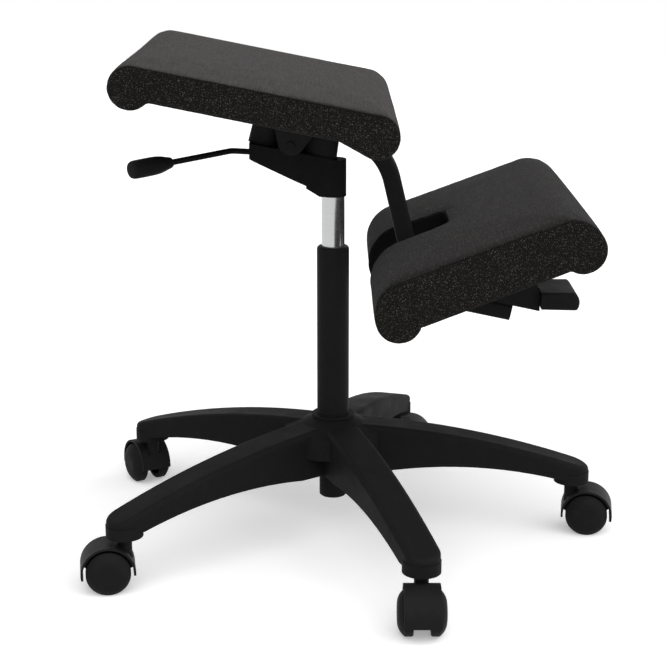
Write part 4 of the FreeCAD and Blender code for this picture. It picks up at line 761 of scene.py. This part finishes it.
def fill(pad, held, covers):
    """Moves of a cover as foam fills it: cloth under pressure, held at its seams and on its board."""
    rest = points(pad.data)
    facing = normals(pad.data)
    start = rest - facing * covers.start_in * (1 - held)[:, None]
    move_points(pad.data, start)
    group = pad.vertex_groups.new(name="held")
    for index, weight in enumerate(held):
        if weight > 0.01:
            group.add([index], float(weight), "REPLACE")
    cloth = pad.modifiers.new("Filling", "CLOTH")
    for key, value in CLOTH_SETTINGS.items():
        setattr(cloth.settings, key, value)
    cloth.settings.uniform_pressure_force = covers.pressure
    cloth.settings.effector_weights.gravity = 0
    cloth.point_cache.frame_start = 1
    cloth.point_cache.frame_end = covers.frames
    scene = bpy.context.scene
    for step in range(1, covers.frames + 1):
        scene.frame_set(step)
    graph = bpy.context.evaluated_depsgraph_get()
    moved = points(pad.evaluated_get(graph).data) - rest
    pad.modifiers.clear()
    scene.frame_set(1)
    outward = np.sum(moved * facing, axis=1)
    lift = covers.loft - np.mean(outward[held < 0.05])
    moved += facing * (lift * (1 - held))[:, None]
    reach = np.linalg.norm(moved, axis=1)
    return moved * np.minimum(1.0, covers.swell / np.maximum(reach, 1e-9))[:, None]


def pass_on(pad, rest, moved):
    """Gives the finished cover the moves of the filled one, from its four nearest points."""
    tree = KDTree(len(rest))
    for index, row in enumerate(rest):
        tree.insert(row, index)
    tree.balance()
    rows = points(pad.data)
    steps = np.zeros_like(rows)
    for index, row in enumerate(rows):
        near = tree.find_n(row, 4)
        weights = np.array([1.0 / (gap + 1e-4) for spot, other, gap in near])
        others = [other for spot, other, gap in near]
        steps[index] = weights @ moved[others] / weights.sum()
    move_points(pad.data, rows + steps)


def sharpen(pad, seams, covers):
    """Draws the points beside a seam line onto it, so that panels meet in a clean line."""
    rows = points(pad.data)
    gap, spots = seam_distance(rows, seams)
    pull = np.where(gap < covers.voxel * SEAM_CATCH, SEAM_PULL, 0.0)
    move_points(pad.data, rows + (spots - rows) * pull[:, None])


def sew(pad, seams, covers, form):
    """Pulls the cover in along its seams, puckers the cloth beside them, marks the panels, and marks the seams
    and the slot's walls for painted shade.
    """
    mesh = pad.data
    rows = points(mesh)
    facing = normals(mesh)
    gap = seam_distance(rows, seams)[0]
    dip = np.exp(-(gap / covers.seam_width) ** 2)
    beside = np.exp(-((gap - PUCKER_AWAY) / PUCKER_WIDTH) ** 2)
    ripple = np.array([noise.noise(Vector(row) * PUCKER_SCALE) for row in rows])
    drawn = facing * (covers.seam_depth * dip)[:, None]
    puckers = facing * (PUCKER_HEIGHT * ripple * beside)[:, None]
    rows = rows - drawn + puckers
    move_points(mesh, rows)
    side = np.clip((np.abs(facing[:, 1]) - SIDE_LEAN) / SIDE_RUN, 0, 1)
    upright = np.clip((UPRIGHT_LEAN - np.abs(facing[:, 2])) / UPRIGHT_RUN, 0, 1)
    # Painted shade: the slot's walls are marked so that the material darkens them as if in shade
    inside = (np.abs(rows[:, 1]) < form.slot_half) & (rows[:, 0] < form.slot_end)
    slot = np.where(inside, np.maximum(side, upright * (rows[:, 0] > SLOT_REAR)), 0)
    # The seam mark carries painted shade along the seams' grooves
    marks = {"seam": np.clip(dip * 1.1, 0, 1), "side_panel": side, "slot_painted_shade": slot}
    for label, values in marks.items():
        layer = mesh.attributes.new(label, "FLOAT", "POINT")
        layer.data.foreach_set("value", values.astype(np.float32))


def lay_cloth(pad, form):
    """Maps the cloth in metres: along the wrapped panel round both rolls, or flat on a side panel."""
    mesh = pad.data
    rows = points(mesh)
    x, y, z = rows.T
    ahead = np.maximum(x - form.front, 0)
    behind = np.maximum(-form.rear - x, 0)
    rise = z - form.middle
    run = np.clip(x, -form.rear, form.front)
    run = run + np.where(x > form.front, form.upper * np.arctan2(ahead, rise), 0)
    run = run - np.where(x < -form.rear, form.upper * np.arctan2(behind, rise), 0)
    wrapped = np.stack([run, y], axis=1)
    flat = np.stack([x, z], axis=1) + PANEL_SHIFT
    layer = mesh.uv_layers.new(name="Cloth")
    corners = np.empty(len(mesh.loops), dtype=np.int64)
    mesh.loops.foreach_get("vertex_index", corners)
    lean = np.empty(len(mesh.polygons) * 3)
    mesh.polygons.foreach_get("normal", lean)
    totals = np.empty(len(mesh.polygons), dtype=np.int64)
    mesh.polygons.foreach_get("loop_total", totals)
    sideways = np.repeat(np.abs(lean.reshape(-1, 3)[:, 1]) > PANEL_LEAN, totals)
    spots = np.where(sideways[:, None], flat[corners], wrapped[corners])
    layer.data.foreach_set("uv", spots.astype(np.float32).ravel())


def pad_cover(node, body, axes, form, cloth):
    """Makes one padded cover from its soft solid and puts it in its place."""
    covers = bpy.context.scene.chair_looks.covers
    pad, seams = even_cover(node, node.replace("cushion", "cover"), axes, covers.voxel)
    sharpen(pad, seams, covers)
    foam, seams = even_cover(node, node + "_filling", axes, covers.fill_step)
    rest = points(foam.data)
    held = np.clip(HELD_START - seam_distance(rest, seams)[0] / HELD_RUN, 0, 1)
    between_rolls = (rest[:, 0] > -form.rear) & (rest[:, 0] < form.front)
    under = (rest[:, 2] < BOARD_TOP) & between_rolls
    pass_on(pad, rest, fill(foam, np.where(under, 1.0, held), covers))
    bpy.data.meshes.remove(foam.data)
    sew(pad, seams, covers, form)
    lay_cloth(pad, form)
    pad.data.transform(axes)
    pad.data.shade_smooth()
    pad.data.materials.clear()
    pad.data.materials.append(cloth)
    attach(pad, body)
    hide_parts(node)


# Studio


def seen_rays(tree):
    """One where the camera sees a surface, directly, in a reflection or through glass, else nought."""
    path = put(tree, "ShaderNodeLightPath").outputs
    seen = calc(tree, "MAXIMUM", path["Is Camera Ray"], path["Is Glossy Ray"])
    return calc(tree, "MAXIMUM", seen, path["Is Transmission Ray"])


def lay_floor(studio):
    """A wide pale floor that takes the chair's shadow and runs out to white."""
    shape = bmesh.new()
    bmesh.ops.create_grid(shape, x_segments=8, y_segments=8, size=FLOOR_HALF)
    mesh = bpy.data.meshes.new("floor")
    shape.to_mesh(mesh)
    shape.free()
    floor = bpy.data.objects.new("floor", mesh)
    bpy.context.scene.collection.objects.link(floor)
    material, tree, end = new_material("Pale floor")
    seen = seen_rays(tree)
    cloud = spread(tree, noise_at(tree, own_place(tree), 1.5, 3.0), 0.3, 0.7, 0.0, 0.03)
    tone = between(tree, cloud, opaque(studio.ground), (0.8, 0.8, 0.8, 1))
    finish_surface(tree, end, {
        "Base Color": between(tree, seen, tone, (1, 1, 1, 1)),
        "Roughness": 0.9,
        "Specular IOR Level": 0.0,
        "Emission Color": (1, 1, 1, 1),
        "Emission Strength": calc(tree, "MULTIPLY", seen, studio.floor_lift),
    })
    mesh.materials.append(material)


def light_room(studio):
    """White for the camera and for reflections, a plain soft level for the rest."""
    world = bpy.data.worlds.new("Studio room")
    bpy.context.scene.world = world
    world.use_nodes = True
    tree = world.node_tree
    tree.nodes.clear()
    level = spread(tree, seen_rays(tree), 0.0, 1.0, studio.ambient, 1.0)
    sky = put(tree, "ShaderNodeBackground", {"Color": (1, 1, 1, 1), "Strength": level})
    end = put(tree, "ShaderNodeOutputWorld")
    tree.links.new(sky.outputs[0], end.inputs["Surface"])


def soft_sun(name, strength, spread_angle, toward):
    """A far, wide lamp, so that the floor is lit evenly; toward points at the lamp."""
    data = bpy.data.lights.new(name, "SUN")
    data.energy = strength
    data.angle = spread_angle
    light = bpy.data.objects.new(name, data)
    light.rotation_euler = (-Vector(toward)).to_track_quat("-Z", "Y").to_euler()
    bpy.context.scene.collection.objects.link(light)


def hang_lamps(studio):
    """One broad key from above on the camera's side, and a weaker fill from the chair's front."""
    soft_sun("key_lamp", studio.key, studio.key_spread, KEY_FROM)
    soft_sun("fill_lamp", studio.fill, studio.key_spread, FILL_FROM)


def set_camera(studio):
    """The camera stands square to the chair's side, a little above it."""
    data = bpy.data.cameras.new("camera")
    data.lens = studio.lens
    data.sensor_width = 36.0
    data.clip_start = 0.05
    data.clip_end = 50.0
    camera = bpy.data.objects.new("camera", data)
    camera.location = (0, -studio.camera_back, studio.camera_rise)
    aim = Vector((0, 0, studio.aim_rise)) - camera.location
    camera.rotation_euler = aim.to_track_quat("-Z", "Y").to_euler()
    bpy.context.scene.collection.objects.link(camera)
    bpy.context.scene.camera = camera


# Operators, one for each piece or group of like pieces


class CHAIR_OT_dress_base(bpy.types.Operator):
    """Moulded grain on the five-star base, and the lip on its collar"""

    bl_idname = "chair.dress_base"
    bl_label = "Dress base"

    def execute(self, context):
        finishes = context.scene.chair_looks.finishes
        plastic = coated("Base plastic", finishes)
        dress("five_star_base", plastic)
        bead_collar(context.scene.chair_looks.shapes.bead_radius, plastic)
        return {"FINISHED"}


class CHAIR_OT_dress_lift(bpy.types.Operator):
    """Powder coat, chrome and plain steel on the gas lift"""

    bl_idname = "chair.dress_lift"
    bl_label = "Dress gas lift"

    def execute(self, context):
        finishes = context.scene.chair_looks.finishes
        dress("gas_lift_tube", coated("Tube powder coat", finishes))
        dress("gas_cylinder", metal("Bright chrome", finishes))
        steel = metal("Plain steel", finishes)
        for node in ("piston_rod", "retaining_clip", "thrust_bearing", "release_pin"):
            dress(node, steel)
        dress("guide_bush", coated("Bush plastic", finishes))
        dress("bump_stop", coated("Black rubber", finishes))
        return {"FINISHED"}


class CHAIR_OT_dress_castors(bpy.types.Operator):
    """Smooth nylon on hoods and wheels, steel on stems and axles"""

    bl_idname = "chair.dress_castors"
    bl_label = "Dress castors"

    def execute(self, context):
        finishes = context.scene.chair_looks.finishes
        hood = coated("Hood nylon", finishes)
        wheel = coated("Wheel nylon", finishes)
        steel = metal("Plain steel", finishes)
        for number in CASTORS:
            dress(f"castor_hood_{number}", hood)
            dress(f"castor_wheel_left_{number}", wheel)
            dress(f"castor_wheel_right_{number}", wheel)
            dress(f"castor_stem_{number}", steel)
            dress(f"castor_axle_{number}", steel)
        return {"FINISHED"}


class CHAIR_OT_dress_mechanism(bpy.types.Operator):
    """Finishes of the tilt mechanism and the height lever, with buffers, handle and plugs"""

    bl_idname = "chair.dress_mechanism"
    bl_label = "Dress mechanism"

    def execute(self, context):
        finishes = context.scene.chair_looks.finishes
        shapes = context.scene.chair_looks.shapes
        paint = coated("Mechanism coat", finishes)
        # The buffers' lighter rubber is painted light
        rubber = coated("Black rubber", finishes)
        grip = coated("Grip plastic", finishes)
        steel = metal("Plain steel", finishes)
        bracket = coated("Bracket coat", finishes)
        for node in ("mechanism_housing", "height_lever", "lever_fulcrum_pin"):
            dress(node, paint)
        for node in ("seat_bracket", "tilt_pin"):
            dress(node, bracket)
        slope = context.scene.chair_looks.covers.seat_angle
        for node in ("rear_buffer", "front_buffer"):
            shape_buffer(node, node + "_rubber", slope, shapes.buffer_taper, rubber)
        dress("seat_screws", steel)
        shape_grip(shapes, grip)
        plug_pin_holes(paint)
        return {"FINISHED"}


class CHAIR_OT_dress_knee_rail(bpy.types.Operator):
    """Finishes of the knee bar, its carriage and its clamp"""

    bl_idname = "chair.dress_knee_rail"
    bl_label = "Dress knee rail"

    def execute(self, context):
        finishes = context.scene.chair_looks.finishes
        paint = coated("Bar powder coat", finishes)
        grip = coated("Grip plastic", finishes)
        steel = metal("Plain steel", finishes)
        for node in ("knee_bar", "knee_carriage", "knee_lever"):
            dress(node, paint)
        for node in ("knee_bar_cap", "knee_lever_handle"):
            dress(node, grip)
        for node in ("knee_screws", "clamp_nut", "clamp_eyebolt", "clamp_pin"):
            dress(node, steel)
        return {"FINISHED"}


class CHAIR_OT_dress_boards(bpy.types.Operator):
    """Stained birch plywood on both boards"""

    bl_idname = "chair.dress_boards"
    bl_label = "Dress boards"

    def execute(self, context):
        ply = plywood(context.scene.chair_looks.finishes)
        for node in ("seat_board", "knee_board"):
            dress(node, ply)
        return {"FINISHED"}


class CHAIR_OT_cover_seat(bpy.types.Operator):
    """Padded wool cover of the seat"""

    bl_idname = "chair.cover_seat"
    bl_label = "Cover seat"

    def execute(self, context):
        covers = context.scene.chair_looks.covers
        place = Matrix.Translation((0, 0, covers.seat_rise))
        axes = place @ Matrix.Rotation(covers.seat_angle, 4, "Y")
        finishes = context.scene.chair_looks.finishes
        # The seat's lighter top ground is partly painted sheen
        cloth = wool_cover("Upper pad wool", finishes.wool, finishes, covers)
        pad_cover("seat_cushion", "seat", axes, SEAT_FORM, cloth)
        return {"FINISHED"}


class CHAIR_OT_cover_knee_pad(bpy.types.Operator):
    """Padded wool cover of the knee pad, with its slot for the bar"""

    bl_idname = "chair.cover_knee_pad"
    bl_label = "Cover knee pad"

    def execute(self, context):
        covers = context.scene.chair_looks.covers
        place = Matrix.Translation((covers.knee_ahead, 0, covers.knee_rise))
        axes = place @ Matrix.Rotation(covers.knee_angle, 4, "Y")
        finishes = context.scene.chair_looks.finishes
        # The knee pad's darker ground is painted shade
        cloth = wool_cover("Knee pad wool", finishes.wool_knee_painted_shade, finishes, covers)
        pad_cover("knee_cushion", "knee_pad", axes, KNEE_FORM, cloth)
        return {"FINISHED"}


class CHAIR_OT_studio(bpy.types.Operator):
    """Pale floor, soft lamps, white background and the camera"""

    bl_idname = "chair.studio"
    bl_label = "Studio"

    def execute(self, context):
        studio = context.scene.chair_looks.studio
        lay_floor(studio)
        light_room(studio)
        hang_lamps(studio)
        set_camera(studio)
        context.scene.view_settings.view_transform = "Standard"
        return {"FINISHED"}


# Panel and registration


class CHAIR_PT_looks(bpy.types.Panel):
    """Lists the chair's pieces and the studio"""

    bl_idname = "CHAIR_PT_looks"
    bl_label = "Kneeling chair"
    bl_space_type = "VIEW_3D"
    bl_region_type = "UI"
    bl_category = "Chair"

    def draw(self, context):
        for step in STEPS:
            self.layout.operator(step.bl_idname)


STEPS = (
    CHAIR_OT_dress_base,
    CHAIR_OT_dress_lift,
    CHAIR_OT_dress_castors,
    CHAIR_OT_dress_mechanism,
    CHAIR_OT_dress_knee_rail,
    CHAIR_OT_dress_boards,
    CHAIR_OT_cover_seat,
    CHAIR_OT_cover_knee_pad,
    CHAIR_OT_studio,
)
CLASSES = (ChairFinishes, ChairCovers, ChairShapes, ChairStudio, ChairLooks, *STEPS, CHAIR_PT_looks)


def register():
    for item in CLASSES:
        bpy.utils.register_class(item)
    bpy.types.Scene.chair_looks = PointerProperty(type=ChairLooks)


def unregister():
    del bpy.types.Scene.chair_looks
    for item in reversed(CLASSES):
        bpy.utils.unregister_class(item)


def main():
    register()
    bpy.ops.chair.dress_base()
    bpy.ops.chair.dress_lift()
    bpy.ops.chair.dress_castors()
    bpy.ops.chair.dress_mechanism()
    bpy.ops.chair.dress_knee_rail()
    bpy.ops.chair.dress_boards()
    bpy.ops.chair.cover_seat()
    bpy.ops.chair.cover_knee_pad()
    bpy.ops.chair.studio()


if __name__ == "__main__":
    main()
